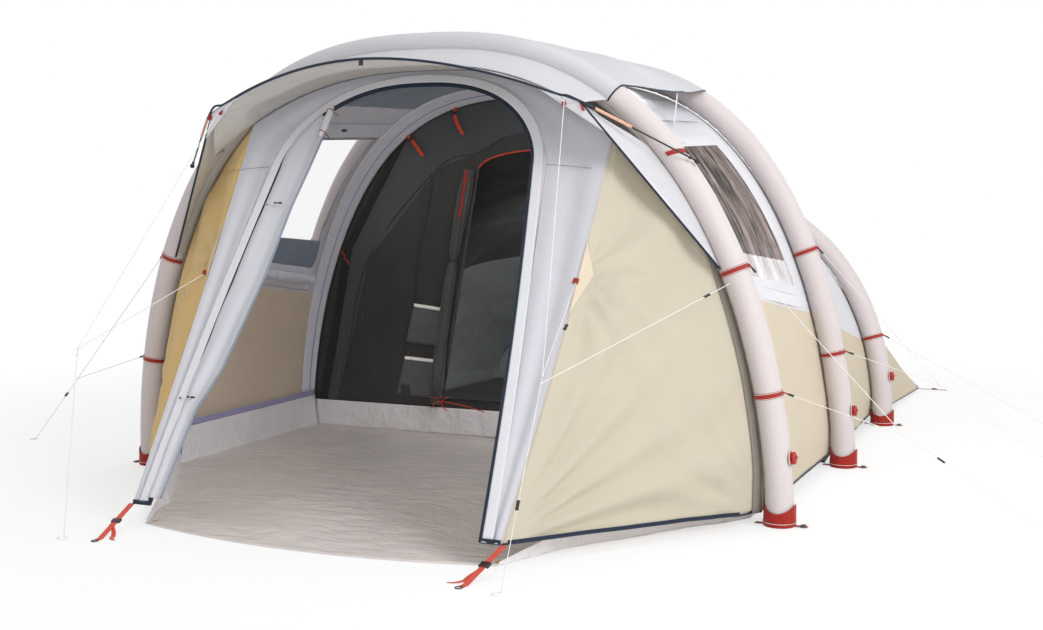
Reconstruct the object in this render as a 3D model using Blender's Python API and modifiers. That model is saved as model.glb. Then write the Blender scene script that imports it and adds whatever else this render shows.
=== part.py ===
"""Inflatable family tent: three air beams carry a sewn fly, a front canopy and a hung bedroom.

Metres, +Z up. The front faces -Y, the side with the valves is +X. The origin is on the ground,
on the centre line, below the middle beam. Every panel follows the beams by the same stations,
so a panel always lies along the beam that holds it.
"""
import math

import bmesh
import bpy
import numpy as np
from mathutils import Matrix, Vector

# Cloth and clearances
FABRIC = 0.003
FILM = 0.0016
SEAM_GAP = 0.0005
SEAT_GAP = 0.0003
FOLD_GAP = 0.0014
WEDGE_GAP = 0.0022

# Air beams: half width and height of each centre line, where it stands, how far its crown leans
BEAM_RADIUS = 0.055
BAND_THICKNESS = 0.0022
BAND_WIDTH = 0.026
FRONT_HALF_WIDTH = 1.500
FRONT_HEIGHT = 1.879
FRONT_Y = -1.260
FRONT_LEAN = -0.079
MIDDLE_HALF_WIDTH = 1.504
MIDDLE_HEIGHT = 1.878
MIDDLE_LEAN = -0.087
REAR_HALF_WIDTH = 1.475
REAR_HEIGHT = 1.315
REAR_Y = 1.264
REAR_LEAN = 0.055
ROUND_POWER_SHARES = {"front": (2.58, 1.957), "middle": (2.99, 1.79), "rear": (2.757, 2.143)}
# Heights of the stations, as shares of the beam's height: beige edge, window foot and head,
# top of the side wall, end of the roof sleeve
KEY_SHARES = {
    "front": (0.490, 0.535, 0.798, 0.860, 0.8785),
    "middle": (0.391, 0.444, 0.828, 0.884, 0.912),
    "rear": (0.365, 0.430, 0.800, 0.860, 0.900),
}
KEY_STEPS = (5, 1, 5, 1, 1, 6)
BAND_SHARES = {"front": (0.271, 0.524), "middle": (0.285, 0.536), "rear": (0.367,)}
BEAM_SIDES_RESOLUTION = 6

# Boots and valves
BOOT_HEIGHT = 0.082
BOOT_FLOOR = 0.003
BOOT_SLACK = 0.005
BOOT_STRAP_LENGTH = 0.110
BOOT_STRAP_WIDTH = 0.030
WEBBING = 0.0025
VALVE_HEIGHT = 0.262
VALVE_BOSS_RADIUS = 0.021
VALVE_BOSS_PROUD = 0.006
VALVE_CAP_RADIUS = 0.024
VALVE_CAP_DEPTH = 0.012
VALVE_GRIP_LENGTH = 0.0384
VALVE_GRIP_WIDTH = 0.008
VALVE_GRIP_PROUD = 0.006

# Fly between the beams, with its windows and vents
HEM_HEIGHT = 0.048
HEM_TUCK = 0.012
WINDOW_FRONT_SHARES = (0.276, 0.352)
WINDOW_REAR_SHARES = (0.853, 0.808)
WINDOW_REACH_SHARES = (-0.2, 1.1)
CURTAIN_RADIUS = 0.028
CURTAIN_SHARES = (0.80, 0.91, 0.87, 0.91, 1.00, 0.91, 0.87, 0.91, 0.80)
CURTAIN_DROP_SHARE = 0.1
PROP_FOOT_SHARE = 0.7
HOOD_SHARES = (0.2, 0.4, 0.6, 0.8)
HOOD_DROP = 0.055
HOOD_PUSH = 0.020
SLEEVE_START_DEG = 200
PROP_RADIUS = 0.004

# End wall
REAR_CORNER_X = 1.480
REAR_CORNER_Y = 2.660
REAR_CENTRE_Y = 2.750
REAR_HEM_Z = 0.020
CORNER_SHARE = 0.50
STRAP_START_SHARE = 0.98
REAR_STRAP_END_X = 1.643
REAR_STRAP_END_Y = 2.780
STRAP_WIDTH = 0.025

# Front panel, its doorway and the canopy
PANEL_HEM_X = 0.780
PANEL_HEM_Y = -2.274
PANEL_HEM_Z = 0.087
PANEL_LEAN_SHARE = 0.5728
CREASE_DROP = 0.040
SEAM_BELLY = 0.012
DOOR_HALF_WIDTH = 0.700
DOOR_SHOULDER_HALF_WIDTH = 0.570
DOOR_SHOULDER_Z = 1.384
DOOR_TOP_Z = 1.720
DOOR_ROUND_SHARES = (2.5, 1.65)
DOOR_BULGE = 0.015
DOOR_LEG_SHARE = 0.62
TIP_X = 0.828
TIP_Y = -1.660
TIP_HEIGHT_SHARE = 0.8574
CANOPY_FRONT_Y = -1.813
CANOPY_PEAK_DROP = 0.088
CANOPY_BOW_SHARES = (1.74, 1.93)
ROD_RADIUS = 0.0035
ROD_BALL_RADIUS = 0.011
ROD_END_SHARE = 0.7232
ROD_END_CLEAR = 0.0054
ROD_END_AHEAD = 0.0229
ROD_EDGE_SHARE = 0.9
ROD_STRAP_WIDTH = 0.020
LEAF_DEPTH = 0.030
LEAF_RIPPLE = 0.007
LEAF_ACROSS_SHARES = np.linspace(0, 1, 11)
LEAF_LOW_Z = 0.110
LEAF_TOP_Z = 1.500
LEAF_TOP_X = 0.390
LEAF_UPPER_TIE_X = 0.505
LEAF_UPPER_TIE_Z = 1.226
LEAF_LOWER_TIE_X = 0.632
LEAF_LOWER_TIE_Z = 0.469
LEAF_LOW_X = 0.722
TOGGLE_LENGTH = 0.040
TOGGLE_RADIUS = 0.005
TOGGLE_SHARES = (1, 0.9, 0.8, 0.9, 1)

# Living-room floor
FLOOR_HALF_WIDTH = 1.372
FLOOR_FRONT_HALF_WIDTH = 0.752
FLOOR_FRONT_CORNER_Y = -2.235
FLOOR_FRONT_MIDDLE_Y = -2.345
FLOOR_SIDE_FRONT_X = 0.900
FLOOR_SIDE_FRONT_Y = -1.905
FLOOR_SIDE_Y = -1.215
FLOOR_WALL = 0.180
FLOOR_WALL_LEAN = 0.022
FLOOR_BACK_WALL = 0.140
FLOOR_FRONT_WALL = 0.012

# Bedroom
BEDROOM_FRONT_SHARE = 0.17
BEDROOM_INSET = 0.080
BEDROOM_TAIL = 0.840
BEDROOM_TAIL_SHARES = (0.97, 0.42)
BEDROOM_SILL_Z = 0.165
BED_DOOR_LEFT_LOW_X = -0.655
BED_DOOR_LEFT_TOP_X = -0.475
BED_DOOR_RIGHT_X = 0.640
BED_DOOR_SHOULDER_Z = 1.390
BED_DOOR_TOP_Z = 1.500
DOOR_ROLL_RADIUS = 0.036
ROLL_SHARES = (0.62, 0.82, 0.92, 0.87, 0.99, 1.00, 0.98, 0.94, 0.72, 0.80, 0.72, 0.66, 0.62)
HANGER_ROWS = (9, 12, 15)

# Corner straps and guy lines
STRAP_TOP_X = 0.790
STRAP_END_X = 0.750
STRAP_END_Y = -2.520
BUCKLE_LENGTH = 0.026
BUCKLE_WIDTH = 0.038
BUCKLE_HEIGHT = 0.008
GUY_RADIUS = 0.0015
KNOT_SHARE = 2.2
KNOT_LENGTH = 0.006
GUY_LOOP_RADIUS = 0.018
GUY_CLEAR = 0.0006
RUNNER_LENGTH = 0.034
RUNNER_WIDTH = 0.013
RUNNER_HEIGHT = 0.008
CANOPY_TAB_SHARE = 0.927
SEAM_TAB_SHARE = 0.62
FRONT_KNOT = (0.965, -2.350, 0.685)
FRONT_PEG = (0.897, -2.528, 0.0022)
SECOND_KNOT_STEP = 0.025
SIDE_KNOT = (1.957, -1.243, 0.381)
SIDE_PEG = (2.470, -1.000, 0.0022)
MIDDLE_KNOT = (1.931, 0.000, 0.409)
MIDDLE_PEG = (2.470, 0.250, 0.0022)
REAR_PEG = (2.300, 1.620, 0.0022)
GUY_POINTS = 14
RUNNER_SHARES = {"front": 0.14, "seam": 0.45, "canopy": 0.60, "side": 0.25}

COLOURS = {
    "beam": ((0.800, 0.720, 0.700, 1), 0.55, 0),
    "red": ((0.600, 0.050, 0.020, 1), 0.60, 0),
    "beige": ((0.740, 0.640, 0.450, 1), 0.75, 0),
    "white": ((0.780, 0.780, 0.800, 1), 0.65, 0),
    "grey": ((0.560, 0.570, 0.620, 1), 0.70, 0),
    "film": ((0.250, 0.220, 0.200, 1), 0.25, 0),
    "mesh": ((0.300, 0.290, 0.270, 1), 0.85, 0),
    "floor": ((0.480, 0.430, 0.380, 1), 0.50, 0),
    "black": ((0.020, 0.020, 0.020, 1), 0.70, 0),
    "rod": ((0.015, 0.015, 0.015, 1), 0.35, 0),
    "line": ((0.850, 0.850, 0.830, 1), 0.60, 0),
    "plastic": ((0.030, 0.030, 0.030, 1), 0.40, 0),
    "blue": ((0.200, 0.230, 0.320, 1), 0.75, 0),
}

ARCHES = {
    "front": (FRONT_HALF_WIDTH, FRONT_HEIGHT, FRONT_Y, FRONT_LEAN),
    "middle": (MIDDLE_HALF_WIDTH, MIDDLE_HEIGHT, 0, MIDDLE_LEAN),
    "rear": (REAR_HALF_WIDTH, REAR_HEIGHT, REAR_Y, REAR_LEAN),
}
SEAT = BEAM_RADIUS + BAND_THICKNESS + SEAT_GAP + FABRIC / 2
SIDES = {"right": 1, "left": -1}
MIRROR = np.array([-1, 1, 1])

parts = bpy.data.collections.new("inflatable_tent")
cutters = bpy.data.collections.new("cutters")


def clear_scene():
    """Takes out whatever the scene held, and links the two collections."""
    for old in list(bpy.data.objects):
        bpy.data.objects.remove(old, do_unlink=True)
    bpy.context.scene.collection.children.link(parts)
    bpy.context.scene.collection.children.link(cutters)


def paint(name):
    """The material of that name, made once."""
    if name in bpy.data.materials:
        return bpy.data.materials[name]
    colour, roughness, metallic = COLOURS[name]
    made = bpy.data.materials.new(name)
    made.use_nodes = True
    shader = made.node_tree.nodes["Principled BSDF"]
    shader.inputs["Base Color"].default_value = colour
    shader.inputs["Roughness"].default_value = roughness
    shader.inputs["Metallic"].default_value = metallic
    return made


def mesh_object(name, points, faces, colour):
    """An object from points and faces, with points that coincide merged."""
    mesh = bpy.data.meshes.new(name)
    mesh.from_pydata([tuple(p) for p in points], [], faces)
    work = bmesh.new()
    work.from_mesh(mesh)
    bmesh.ops.remove_doubles(work, verts=work.verts, dist=SEAM_GAP / 5)
    bmesh.ops.recalc_face_normals(work, faces=work.faces)
    work.to_mesh(mesh)
    work.free()
    mesh.shade_smooth()
    mesh.set_sharp_from_angle(angle=math.radians(40))
    mesh.materials.append(paint(colour))
    made = bpy.data.objects.new(name, mesh)
    parts.objects.link(made)
    return made


def sheet(name, rows, colour, thickness=FABRIC, holes=(), closed=False):
    """Cloth over a grid of points, rows by columns, half its thickness on each side.

    holes lists (first row, last row, first column, last column) of cells left out, and closed
    joins the last row to the first.
    """
    grid = np.asarray(rows, float)
    count, width = grid.shape[:2]
    open_cells = np.zeros((count, width), bool)
    for low, high, left, right in holes:
        open_cells[low:high, left:right] = True
    faces = []
    for i in range(count if closed else count - 1):
        j = (i + 1) % count
        for k in range(width - 1):
            if not open_cells[i, k]:
                faces.append((i * width + k, j * width + k, j * width + k + 1, i * width + k + 1))
    made = mesh_object(name, grid.reshape(-1, 3), faces, colour)
    wall = made.modifiers.new("cloth", "SOLIDIFY")
    wall.thickness = thickness
    wall.offset = 0
    return made


def tube(name, points, radius, colour, radii=None, resolution=2):
    """A round tube through the points, with its own radius share at each one."""
    curve = bpy.data.curves.new(name, "CURVE")
    curve.dimensions = "3D"
    curve.bevel_depth = radius
    curve.bevel_resolution = resolution
    curve.use_fill_caps = True
    spline = curve.splines.new("POLY")
    spline.points.add(len(points) - 1)
    for index, point in enumerate(points):
        spline.points[index].co = (*point, 1)
        spline.points[index].radius = 1 if radii is None else radii[index]
        spline.use_smooth = True
    curve.materials.append(paint(colour))
    made = bpy.data.objects.new(name, curve)
    parts.objects.link(made)
    return made


def as_mesh(made):
    """The same tube as a mesh with its caps welded on, ready for a cut or a join."""
    bpy.context.view_layer.update()
    graph = bpy.context.evaluated_depsgraph_get()
    mesh = bpy.data.meshes.new_from_object(made.evaluated_get(graph))
    work = bmesh.new()
    work.from_mesh(mesh)
    bmesh.ops.remove_doubles(work, verts=work.verts, dist=SEAM_GAP / 5)
    work.to_mesh(mesh)
    work.free()
    name = made.name
    solid = bpy.data.objects.new(name + "_mesh", mesh)
    solid.matrix_world = made.matrix_world
    bpy.data.objects.remove(made, do_unlink=True)
    solid.name = name
    parts.objects.link(solid)
    return solid


def combine(made, other, operation):
    """Joins or cuts with another mesh, which becomes a wire guide in the cutters' collection."""
    step = made.modifiers.new(operation.lower(), "BOOLEAN")
    step.operation = operation
    step.object = other
    step.solver = "EXACT"
    for home in list(other.users_collection):
        home.objects.unlink(other)
    cutters.objects.link(other)
    other.hide_render = True
    other.display_type = "WIRE"


def frame_matrix(origin, along, up):
    """A place whose Z runs along the first direction and whose Y is nearest the second."""
    z = Vector(along).normalized()
    x = Vector(up).cross(z).normalized()
    y = z.cross(x)
    turned = Matrix((x, y, z)).transposed().to_4x4()
    return Matrix.Translation(Vector(origin)) @ turned


def cylinder(name, radius, depth, place, colour, sides=20):
    """A plain cylinder, its base at the place and its axis along the place's Z."""
    mesh = bpy.data.meshes.new(name)
    work = bmesh.new()
    bmesh.ops.create_cone(
        work, cap_ends=True, segments=sides, radius1=radius, radius2=radius, depth=depth
    )
    bmesh.ops.translate(work, verts=work.verts, vec=(0, 0, depth / 2))
    work.to_mesh(mesh)
    work.free()
    mesh.shade_smooth()
    mesh.set_sharp_from_angle(angle=math.radians(40))
    mesh.materials.append(paint(colour))
    made = bpy.data.objects.new(name, mesh)
    made.matrix_world = place
    parts.objects.link(made)
    return made


def block(name, size, place, colour, bevel=0):
    """A box with the given sides, centred on the place, its edges rounded if asked."""
    mesh = bpy.data.meshes.new(name)
    work = bmesh.new()
    bmesh.ops.create_cube(work, size=1, matrix=Matrix.Diagonal((*size, 1)))
    work.to_mesh(mesh)
    work.free()
    mesh.materials.append(paint(colour))
    made = bpy.data.objects.new(name, mesh)
    made.matrix_world = place
    parts.objects.link(made)
    if bevel:
        edge = made.modifiers.new("edge", "BEVEL")
        edge.width = bevel
        edge.segments = 2
    return made


# The beams' centre lines


def angle_at(arch, height):
    """The angle along a beam, from its right foot, at which its centre line is that high."""
    power = ROUND_POWER_SHARES[arch][1]
    return np.arcsin(np.clip(np.asarray(height) / ARCHES[arch][1], 0, 1) ** (power / 2))


def beam_point(arch, angle, out=0, forward=0):
    """A point of the beam's centre line, moved outwards across it and along Y.

    The centre line is a rounded arch, |x / half width|^n + |z / height|^m = 1, whose plane
    leans by a fixed amount at the crown.
    """
    half_width, height, foot_y, lean = ARCHES[arch]
    n, m = ROUND_POWER_SHARES[arch]
    angle = np.asarray(angle, float)
    c, s = np.cos(angle), np.sin(angle)
    x = np.sign(c) * np.abs(c) ** (2 / n)
    z = np.abs(s) ** (2 / m)
    nx = n * np.sign(x) * np.abs(x) ** (n - 1) / half_width
    nz = m * z ** (m - 1) / height
    size = np.hypot(nx, nz)
    out = np.asarray(out, float)
    return np.stack(
        [
            x * half_width + out * nx / size,
            foot_y + lean * z + forward + 0 * out,
            z * height + out * nz / size,
        ],
        -1,
    )


def outwards(arch, angle):
    """The direction straight out of the beam, away from the tent, at an angle."""
    return beam_point(arch, angle, 1) - beam_point(arch, angle)


def stations(arch):
    """The angles of the stations, from the right hem over the crown to the left hem."""
    height = ARCHES[arch][1]
    keys = [angle_at(arch, HEM_HEIGHT)]
    keys += [angle_at(arch, share * height) for share in KEY_SHARES[arch]]
    keys.append(math.pi / 2)
    right = [keys[0]]
    for low, high, steps in zip(keys, keys[1:], KEY_STEPS):
        right += [low + (high - low) * (i + 1) / steps for i in range(steps)]
    right = np.array(right)
    return np.concatenate([right, math.pi - right[-2::-1]])


STATIONS = {arch: stations(arch) for arch in ARCHES}
KEY_ROWS = np.concatenate([[0], np.cumsum(KEY_STEPS)])
WINDOW_LOW, WINDOW_TOP, WALL_TOP, SLEEVE_END, CROWN = (int(row) for row in KEY_ROWS[2:])
CORNER_ROW = round(CORNER_SHARE * CROWN)
LAST_ROW = 2 * CROWN


def at_row(arch, row):
    """The angle at a station counted with fractions."""
    angles = STATIONS[arch]
    return np.interp(row, np.arange(len(angles)), angles)


def between(first, second, share):
    """Points along the straight line between two rows of points."""
    share = np.asarray(share)[..., None]
    return first + (second - first) * share


def tuck(row):
    """How much further in the cloth lies towards its hem, where it passes behind the boots."""
    return HEM_TUCK * np.clip(1 - np.minimum(row, LAST_ROW - row), 0, 1)


def living_skin(row, share, inset=SEAT):
    """The living room's fly, stretched straight from the front beam to the middle one."""
    inset = inset + tuck(row)
    front = beam_point("front", at_row("front", row), -inset)
    back = beam_point("middle", at_row("middle", row), -inset)
    return between(front, back, share)


def rear_seat(row, inset):
    """How far inside the rear beam the cloth lies, so that its slope clears the beam."""
    high = beam_point("middle", at_row("middle", row), -inset)
    angle = at_row("rear", row)
    low = beam_point("rear", angle, -inset)
    fall = np.sum((high - low) * outwards("rear", angle), -1)
    slope = np.maximum(fall, 0) / np.abs(high[..., 1] - low[..., 1])
    return inset * np.sqrt(1 + slope**2)


def bedroom_skin(row, share, inset=SEAT):
    """The fly over the bedroom, from the middle beam down to the rear one."""
    inset = inset + tuck(row)
    front = beam_point("middle", at_row("middle", row), -inset)
    back = beam_point("rear", at_row("rear", row), -rear_seat(row, inset))
    return between(front, back, share)


# Beams, boots and valves


def build_beam(arch):
    """An air beam in one run, stepped up where its red bands go round, with the valve's boss."""
    _, height, _, lean = ARCHES[arch]
    tilt = BEAM_RADIUS * abs(lean) / height
    foot = angle_at(arch, BOOT_FLOOR + SEAM_GAP + tilt)
    marks = [(foot, 1)]
    marks += [(angle, 1) for angle in STATIONS[arch]]
    marks.append((math.pi - foot, 1))
    proud = 1 + BAND_THICKNESS / BEAM_RADIUS
    edge = BAND_WIDTH / 2
    step = BAND_THICKNESS / 4
    for share in BAND_SHARES[arch]:
        middle = share * height
        covered = [angle_at(arch, middle - 2 * edge), angle_at(arch, middle + 2 * edge)]
        marks = [m for m in marks if not covered[0] < min(m[0], math.pi - m[0]) < covered[1]]
        for z, wide in ((-edge - step, 1), (-edge, proud), (edge, proud), (edge + step, 1)):
            angle = angle_at(arch, middle + z)
            marks += [(angle, wide), (math.pi - angle, wide)]
    marks.sort()
    points = [beam_point(arch, angle) for angle, _ in marks]
    radii = [wide for _, wide in marks]
    beam = tube(
        "beam_" + arch, points, BEAM_RADIUS, "beam", radii=radii, resolution=BEAM_SIDES_RESOLUTION
    )
    beam = as_mesh(beam)
    angle = angle_at(arch, VALVE_HEIGHT)
    normal = outwards(arch, angle)
    inner = beam_point(arch, angle, BEAM_RADIUS / 2)
    reach = BEAM_RADIUS / 2 + VALVE_BOSS_PROUD
    place = frame_matrix(inner, normal, (0, 1, 0))
    boss = cylinder("boss_" + arch, VALVE_BOSS_RADIUS, reach, place, "red")
    combine(beam, boss, "UNION")
    build_valve_cap(arch, angle, normal)


def build_valve_cap(arch, angle, normal):
    """The valve's cap: a round lid with a finger grip across it, turned by a quarter."""
    base = beam_point(arch, angle, BEAM_RADIUS + VALVE_BOSS_PROUD + SEAM_GAP)
    place = frame_matrix(base, normal, (0, 1, 0))
    cap = cylinder("valve_cap_" + arch, VALVE_CAP_RADIUS, VALVE_CAP_DEPTH, place, "red")
    grip_height = VALVE_CAP_DEPTH / 2 + VALVE_GRIP_PROUD
    lift = VALVE_CAP_DEPTH / 2 + grip_height / 2
    grip_place = place @ Matrix.Translation((0, 0, lift))
    size = (VALVE_GRIP_WIDTH, VALVE_GRIP_LENGTH, grip_height)
    grip = block("grip_" + arch, size, grip_place, "red")
    combine(cap, grip, "UNION")


def build_boot(arch, side):
    """A red cup round the beam's foot, with the webbing that pegs it down on both sides."""
    half_width, height, foot_y, lean = ARCHES[arch]
    x = SIDES[side] * half_width
    y = foot_y + lean * BOOT_HEIGHT / 2 / height
    inner = BEAM_RADIUS + BOOT_SLACK
    outer = inner + FABRIC
    name = "boot_{}_{}".format(arch, side)
    profile = [
        (0, 0),
        (outer, 0),
        (outer, BOOT_HEIGHT),
        (inner, BOOT_HEIGHT),
        (inner, BOOT_FLOOR),
        (0, BOOT_FLOOR),
    ]
    mesh = bpy.data.meshes.new(name)
    mesh.from_pydata([(r, 0, z) for r, z in profile[::-1]], [(i, i + 1) for i in range(5)], [])
    mesh.materials.append(paint("red"))
    boot = bpy.data.objects.new(name, mesh)
    boot.location = (x, y, 0)
    parts.objects.link(boot)
    turn = boot.modifiers.new("turn", "SCREW")
    turn.steps = 16
    turn.render_steps = 16
    turn.use_merge_vertices = True
    turn.merge_threshold = SEAM_GAP / 10
    turn.use_normal_calculate = True
    low = WEBBING / 4
    size = (2 * BOOT_STRAP_LENGTH, BOOT_STRAP_WIDTH, WEBBING)
    lift = Matrix.Translation((x, y, low + WEBBING / 2))
    combine(boot, block("strap_" + name, size, lift, "red"), "UNION")


# Fly, windows, vents and roof


def window_columns(row, inset=0):
    """Where the window's front and rear edges cross a row, as shares of the way between beams."""
    way = (row - WINDOW_LOW) / (WINDOW_TOP - WINDOW_LOW)
    left_way = (LAST_ROW - row - WINDOW_LOW) / (WINDOW_TOP - WINDOW_LOW)
    way = np.clip(np.where(row > CROWN, left_way, way), *WINDOW_REACH_SHARES)
    front = WINDOW_FRONT_SHARES[0] + (WINDOW_FRONT_SHARES[1] - WINDOW_FRONT_SHARES[0]) * way
    rear = WINDOW_REAR_SHARES[0] + (WINDOW_REAR_SHARES[1] - WINDOW_REAR_SHARES[0]) * way
    return front + inset, rear - inset


def living_columns(row):
    """The columns of the living room's fly at a row: its edges, the window's and those between."""
    span = abs(FRONT_Y)
    edge = FOLD_GAP / 2 / span
    front, rear = window_columns(row)
    middle = front + (rear - front) * np.array([1 / 3, 2 / 3])
    return np.array([edge, front / 2, front, *middle, rear, (1 + rear) / 2, 1 - edge])


def build_living_fly():
    """Side walls and ceiling of the living room, in one piece, open at the windows and vents."""
    rows = []
    for row in range(LAST_ROW + 1):
        columns = living_columns(row)
        rows.append(living_skin(row, columns))
    holes = [
        (WINDOW_LOW, WINDOW_TOP, 2, 5),
        (LAST_ROW - WINDOW_TOP, LAST_ROW - WINDOW_LOW, 2, 5),
        (WALL_TOP, SLEEVE_END + 1, 1, 6),
        (LAST_ROW - SLEEVE_END - 1, LAST_ROW - WALL_TOP, 1, 6),
    ]
    sheet("living_fly", rows, "white", holes=holes)


def panel_in_hole(name, side, low, high, front, rear, colour, thickness):
    """A panel that fills a hole of the fly, a seam's gap inside its edges."""
    span = abs(FRONT_Y)
    inset = SEAM_GAP / span
    rows = []
    count = high - low
    for i in range(count + 1):
        row = low + i
        step = np.linalg.norm(living_skin(low + 1, 0.5) - living_skin(low, 0.5))
        slip = SEAM_GAP / step
        row = row + (slip if i == 0 else -slip if i == count else 0)
        left, right = front(row), rear(row)
        shares = left + inset + (right - left - 2 * inset) * np.linspace(0, 1, 5)
        points = living_skin(row, shares)
        rows.append(points if side == "right" else points * MIRROR)
    sheet(name, rows, colour, thickness=thickness)


def build_window(side):
    """The clear pane of a side window and the curtain that hangs rolled below it, inside."""
    panel_in_hole(
        "window_" + side,
        side,
        WINDOW_LOW,
        WINDOW_TOP,
        lambda row: window_columns(row)[0],
        lambda row: window_columns(row)[1],
        "film",
        FILM,
    )
    front, rear = window_columns(WINDOW_LOW)
    inset = SEAT + FABRIC / 2 - SEAM_GAP + CURTAIN_RADIUS
    shares = np.linspace(front, rear, len(CURTAIN_SHARES))
    points = living_skin(WINDOW_LOW - CURTAIN_DROP_SHARE, shares, inset)
    points = points if side == "right" else points * MIRROR
    shares = CURTAIN_SHARES
    tube("curtain_roll_" + side, points, CURTAIN_RADIUS, "blue", radii=shares, resolution=3)


def build_vent(side):
    """The mesh of a roof vent, and the stiff strap that props its hood open."""

    def front(row):
        return living_columns(row)[1]

    def rear(row):
        return living_columns(row)[6]

    panel_in_hole("vent_mesh_" + side, side, WALL_TOP, SLEEVE_END + 1, front, rear, "mesh", FILM)
    foot, head = prop_ends(side)
    tube("vent_prop_" + side, [foot, (foot + head) / 2, head], PROP_RADIUS, "white")


def prop_ends(side):
    """Foot and head of a vent's prop: on the side wall's top edge, and under the hood."""
    clear = FABRIC / 2 + SEAM_GAP + PROP_RADIUS
    low = living_skin(WALL_TOP - 1, 0.5, SEAT - clear)
    high = living_skin(WALL_TOP, 0.5, SEAT - clear)
    foot = low + (high - low) * PROP_FOOT_SHARE
    edge = roof_point(SLEEVE_END, np.array(HOOD_SHARES[1:3])).mean(axis=0)
    inner = roof_point(SLEEVE_END + 1, np.array(HOOD_SHARES[1:3])).mean(axis=0)
    towards = (inner - edge) / np.linalg.norm(inner - edge)
    under = edge + towards * 3 * PROP_RADIUS
    along = (foot - under) / np.linalg.norm(foot - under)
    slant = abs(np.dot(along, towards))
    upright = math.sqrt(1 - slant**2)
    head = under + along * (FABRIC / 2 + SEAM_GAP + PROP_RADIUS * slant) / upright
    return (foot, head) if side == "right" else (foot * MIRROR, head * MIRROR)


def roof_point(row, share):
    """The roof between the beams: straight from crown to crown, its hoods let down at mid-span."""
    out = roof_lift()
    front = beam_point("front", at_row("front", row), out)
    back = beam_point("middle", at_row("middle", row), out)
    point = between(front, back, share)
    from_edge = np.minimum(row - SLEEVE_END, LAST_ROW - SLEEVE_END - row)
    hood = np.sin(math.pi * np.asarray(share)) * np.clip(1 - from_edge / 2, 0, 1) ** 2
    down = living_skin(row - 0.5, 0.5) - living_skin(row + 0.5, 0.5)
    down = down if row < CROWN else -down
    down = down / np.linalg.norm(down)
    normal = outwards("front", at_row("front", row))
    return point + np.multiply.outer(hood, down * HOOD_DROP + normal * HOOD_PUSH)


def roof_lift():
    """How far the roof's middle surface lies outside a beam's centre line."""
    step = math.radians(SLEEVE_START_DEG - 90) / 5
    return (BEAM_RADIUS + FABRIC / 2) / math.cos(step / 2)


def build_roof():
    """The outer roof: a sleeve over each of the two tall beams and the sheet between them."""
    lift = roof_lift()
    turns = np.radians(np.linspace(SLEEVE_START_DEG, 90, 6))
    rows = []
    for row in range(SLEEVE_END, LAST_ROW - SLEEVE_END + 1):
        ahead = [
            beam_point("front", at_row("front", row), lift * math.sin(a), lift * math.cos(a))
            for a in turns
        ]
        spread = [roof_point(row, share) for share in HOOD_SHARES]
        behind = [
            beam_point("middle", at_row("middle", row), lift * math.sin(a), -lift * math.cos(a))
            for a in turns[::-1]
        ]
        rows.append(np.array(ahead + spread + behind))
    sheet("roof", rows, "white")


def build_bedroom_fly():
    """The fly from the middle beam down to the rear one, hem to hem."""
    edge = FOLD_GAP / 2 / REAR_Y
    shares = np.array([edge, 0.25, 0.5, 0.75, 1 - edge])
    rows = [bedroom_skin(row, shares) for row in range(LAST_ROW + 1)]
    sheet("bedroom_fly", rows, "white")


def rear_hem(row):
    """The end wall's lower edge: back along the side to the corner, then across the rear."""
    side = -1 if row > CROWN else 1
    row = LAST_ROW - row if row > CROWN else row
    foot = bedroom_skin(0, 1)
    foot = np.array([foot[0], foot[1] + HEM_HEIGHT, HEM_HEIGHT / 2 + REAR_HEM_Z / 2])
    corner = np.array([REAR_CORNER_X, REAR_CORNER_Y, REAR_HEM_Z])
    centre = np.array([0, REAR_CENTRE_Y, REAR_HEM_Z])
    turn = CORNER_ROW
    if row <= turn:
        point = foot + (corner - foot) * row / turn
    else:
        point = corner + (centre - corner) * (row - turn) / (CROWN - turn)
    return point * [side, 1, 1]


def end_wall_point(row, share):
    """The end wall, stretched straight from the rear beam down to its hem."""
    top = bedroom_skin(row, 1, SEAT - 2 * SEAM_GAP) + [0, FOLD_GAP / 2, 0]
    return between(top, rear_hem(row), share)


def build_end_wall():
    """The sloping end wall, and the straps that peg its two corners."""
    shares = np.linspace(0, 1, 5)
    rows = [end_wall_point(row, shares) for row in range(LAST_ROW + 1)]
    wall = sheet("end_wall", rows, "beige")
    for side, sign in SIDES.items():
        start = end_wall_point(CORNER_ROW, STRAP_START_SHARE) * [sign, 1, 1]
        corner = np.array([REAR_CORNER_X * sign, REAR_CORNER_Y, REAR_HEM_Z])
        end = np.array([REAR_STRAP_END_X * sign, REAR_STRAP_END_Y, WEBBING])
        along = (end - corner) / np.linalg.norm(end - corner)
        across = np.array([-along[1], along[0], 0]) * STRAP_WIDTH / 2
        rows = [[p - across, p + across] for p in (start, corner, end)]
        strap = sheet("rear_strap_" + side, rows, "red", thickness=WEBBING)
        combine(wall, strap, "UNION")


# Front panel, canopy and their fittings


def panel_point(x, z, ahead=0):
    """A point of the leaning plane that holds the front panel, or of one that lies ahead of it."""
    y = PANEL_HEM_Y + PANEL_LEAN_SHARE * (np.asarray(z) - PANEL_HEM_Z)
    tilt = np.array([0, -1, PANEL_LEAN_SHARE]) / math.hypot(1, PANEL_LEAN_SHARE)
    return np.stack([x + 0 * z, y, z + 0 * x], -1) + ahead * tilt


def crease(row, lift=0):
    """Where the front panel ends under the canopy: inside the front beam, on the panel's plane."""
    inner = beam_point("front", at_row("front", row), -(BEAM_RADIUS + CREASE_DROP) + lift)
    return panel_point(inner[..., 0], inner[..., 2])


CREASE_ROW = SLEEVE_END - 2


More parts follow.
